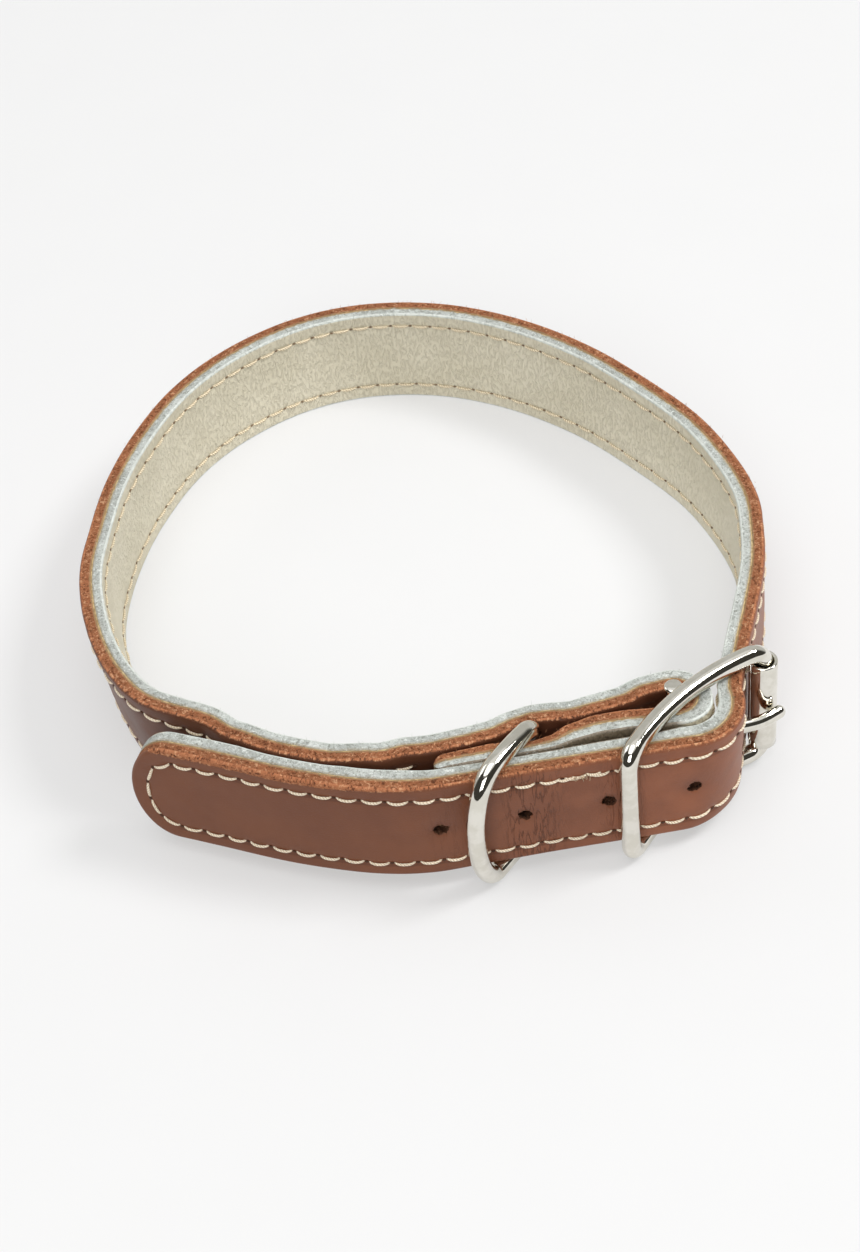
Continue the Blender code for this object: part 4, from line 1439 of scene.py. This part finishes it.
def make_prong():
    eye_radius = BAR_RADIUS + BAR_CLEARANCE + PRONG_RADIUS
    builder = bmesh.new()
    spokes = [heading(2 * math.pi * step / EYE_STEPS) for step in range(EYE_STEPS)]
    add_skin(builder, [circle(at_height(BAR_CENTRE + spoke * eye_radius, MIDDLE_Z), spoke, Z_AXIS,
                              PRONG_RADIUS, PRONG_SIDES) for spoke in spokes], closed=True)
    bend = prong_bend()
    shank, along = (bend - BAR_CENTRE).normalized(), heading(PRONG_TURN)
    tip = bend + along * (PRONG_REACH + PRONG_TIP)
    route = spline([BAR_CENTRE + shank * eye_radius, bend - shank * PRONG_RADIUS,
                    bend + along * PRONG_RADIUS, tip], 0.4 * MM)
    radii = [PRONG_RADIUS] * len(route)
    for turn in [math.radians(angle) for angle in (15, 30, 45, 60, 75, 84)]:
        route.append(tip + along * (PRONG_RADIUS * math.sin(turn)))
        radii.append(PRONG_RADIUS * math.cos(turn))
    add_skin(builder, [circle(at_height(point, MIDDLE_Z), left_of(ahead_at(route, index)), Z_AXIS * 1.2,
                              radii[index], PRONG_SIDES) for index, point in enumerate(route)])
    return new_piece("bent_prong", builder, [NICKEL], "buckle_prong")


make_prong()


# %% The lead ring
# beyond the strap's face, height over the strap's middle, both in mm
RING_ROWS = (
    (-9.0, 15.0), (-4.5, 15.2), (-0.5, 14.8), (2.6, 12.4), (4.5, 8.4), (5.6, 4.0), (5.8, 0.0),
)
NOSE_STEPS = 24


def make_ring():
    point, outward = FRONT.at(RING_DISTANCE)
    depth = tab_back_depth(RING_DISTANCE) + back_gap(RING_DISTANCE) / 2
    bar = at_height(point - outward * depth, 0.0)
    leg = (depth + HALF_GAP + LEATHER_THICKNESS) / math.cos(RING_SWING) + SEAT_GAP
    swing = heading(angle_of(outward) - RING_SWING)
    square = left_of(swing)
    upper = [Vector((leg + beyond * MM, height * MM, 0.0)) for beyond, height in RING_ROWS]
    start = Vector((WIRE_BEND, WIRE_HALF_HEIGHT, 0.0))
    outline = bar_corners() + [(point.x, point.y) for point in spline([start, *upper], WIRE_PITCH)[1:]]
    for angle in [-math.pi / 2 * step / NOSE_STEPS for step in range(1, NOSE_STEPS + 1)]:
        outline.append((leg + RING_NOSE * math.cos(angle), WIRE_HALF_HEIGHT * math.sin(angle)))
    builder = bmesh.new()
    add_skin(builder, wire_rings(outline, lambda distance: (bar + swing * distance, square)), closed=True)
    return new_piece("bent_d_ring", builder, [NICKEL], "lead_ring")


make_ring()

# %% [markdown]
# ## Floor, light and camera
#
# The collar lies on a plain sheet that is lit a little from below, as product tables are,
# which keeps the floor even and the shadows short. The main lamp stands high on the right,
# so the right wall throws a soft shadow into the loop. Three weaker lamps, overhead, in
# front and at the back left, open the other shadows. The paper rises pale behind the
# collar, and the room in front is dark: polished wire needs something dark to reflect, or
# it looks like plastic. The camera looks down at 45 degrees from the front through a long
# lens.

# %% The floor and the light
# name, place in metres, side in metres, power in watts
LAMPS = (
    ("key_right", (1.05, 0.0, 1.30), 0.5, 16.5), ("lamp_overhead", (-0.2, -0.35, 1.7), 1.2, 9.0),
    ("lamp_front", (-0.35, -1.45, 1.05), 0.8, 11.5), ("lamp_back_left", (-1.3, 0.7, 0.9), 0.8, 2.5),
)


def make_floor():
    builder = bmesh.new()
    bmesh.ops.create_grid(builder, x_segments=1, y_segments=1, size=3.0)
    finish, tree, shader = new_finish("pale_floor", Roughness=0.9, Specular_IOR_Level=0.1)
    paper = clouds(tree, in_space(tree), 40.0, 2.0)
    fill(tree, shader, {"Base Color": mixed(tree, paper, (0.36, 0.36, 0.36), (0.37, 0.37, 0.37)),
                        "Emission Color": (1.0, 1.0, 1.0, 1.0), "Emission Strength": 0.43})
    new_object("floor", builder, [finish])


def make_sky():
    sky = bpy.data.worlds.new("soft_sky")
    bpy.context.scene.world = sky
    sky.use_nodes = True
    tree = sky.node_tree
    _, back, up = parts_of(tree, add(tree, "ShaderNodeTexCoord")["Generated"])
    room = mixed(tree, mask(tree, back, 0.10, 0.45), (0.06, 0.057, 0.05), (0.66, 0.66, 0.64))
    color = mixed(tree, mask(tree, up, 0.78, 0.86), room, (1.0, 1.0, 1.0))
    fill(tree, tree.nodes["Background"], {"Color": color, "Strength": 0.9})


def make_light(name, place, size, power):
    """A square soft light that faces the collar."""
    lamp = bpy.data.lights.new(name, "AREA")
    lamp.size, lamp.energy = size, power
    light = bpy.data.objects.new(name, lamp)
    light.location = place
    light.rotation_euler = Vector(place).to_track_quat("Z", "Y").to_euler()
    bpy.context.scene.collection.objects.link(light)


bpy.context.scene.view_settings.view_transform = "Standard"
make_floor()
make_sky()
for lamp in LAMPS:
    make_light(*lamp)
print("floor, sky and", len(LAMPS), "lamps made")

# %% The camera
CAMERA_HEIGHT = 401.3 * MM
CAMERA_LENS = 74.04
CAMERA_ROLL = math.radians(-6.4)
AIM = Vector((0.154, -3.0, 0.0)) * MM


def make_camera():
    lens = bpy.data.cameras.new("camera")
    lens.lens, lens.sensor_fit, lens.sensor_height = CAMERA_LENS, "VERTICAL", 36.0
    lens.clip_start = 0.01
    camera = bpy.data.objects.new("camera", lens)
    back = Vector((0.0, -1.0, 1.0)).normalized()
    level = Vector((0.0, 1.0, 1.0)).normalized()
    right = X_AXIS * math.cos(CAMERA_ROLL) + level * math.sin(CAMERA_ROLL)
    up = level * math.cos(CAMERA_ROLL) - X_AXIS * math.sin(CAMERA_ROLL)
    turn = Matrix((right, up, back)).transposed().to_4x4()
    camera.matrix_world = Matrix.Translation(AIM + back * (CAMERA_HEIGHT * math.sqrt(2))) @ turn
    bpy.context.scene.collection.objects.link(camera)
    bpy.context.scene.camera = camera
    print("camera stands at", [round(part, 4) for part in camera.matrix_world.translation])


make_camera()

# %% The end
bpy.context.view_layer.update()
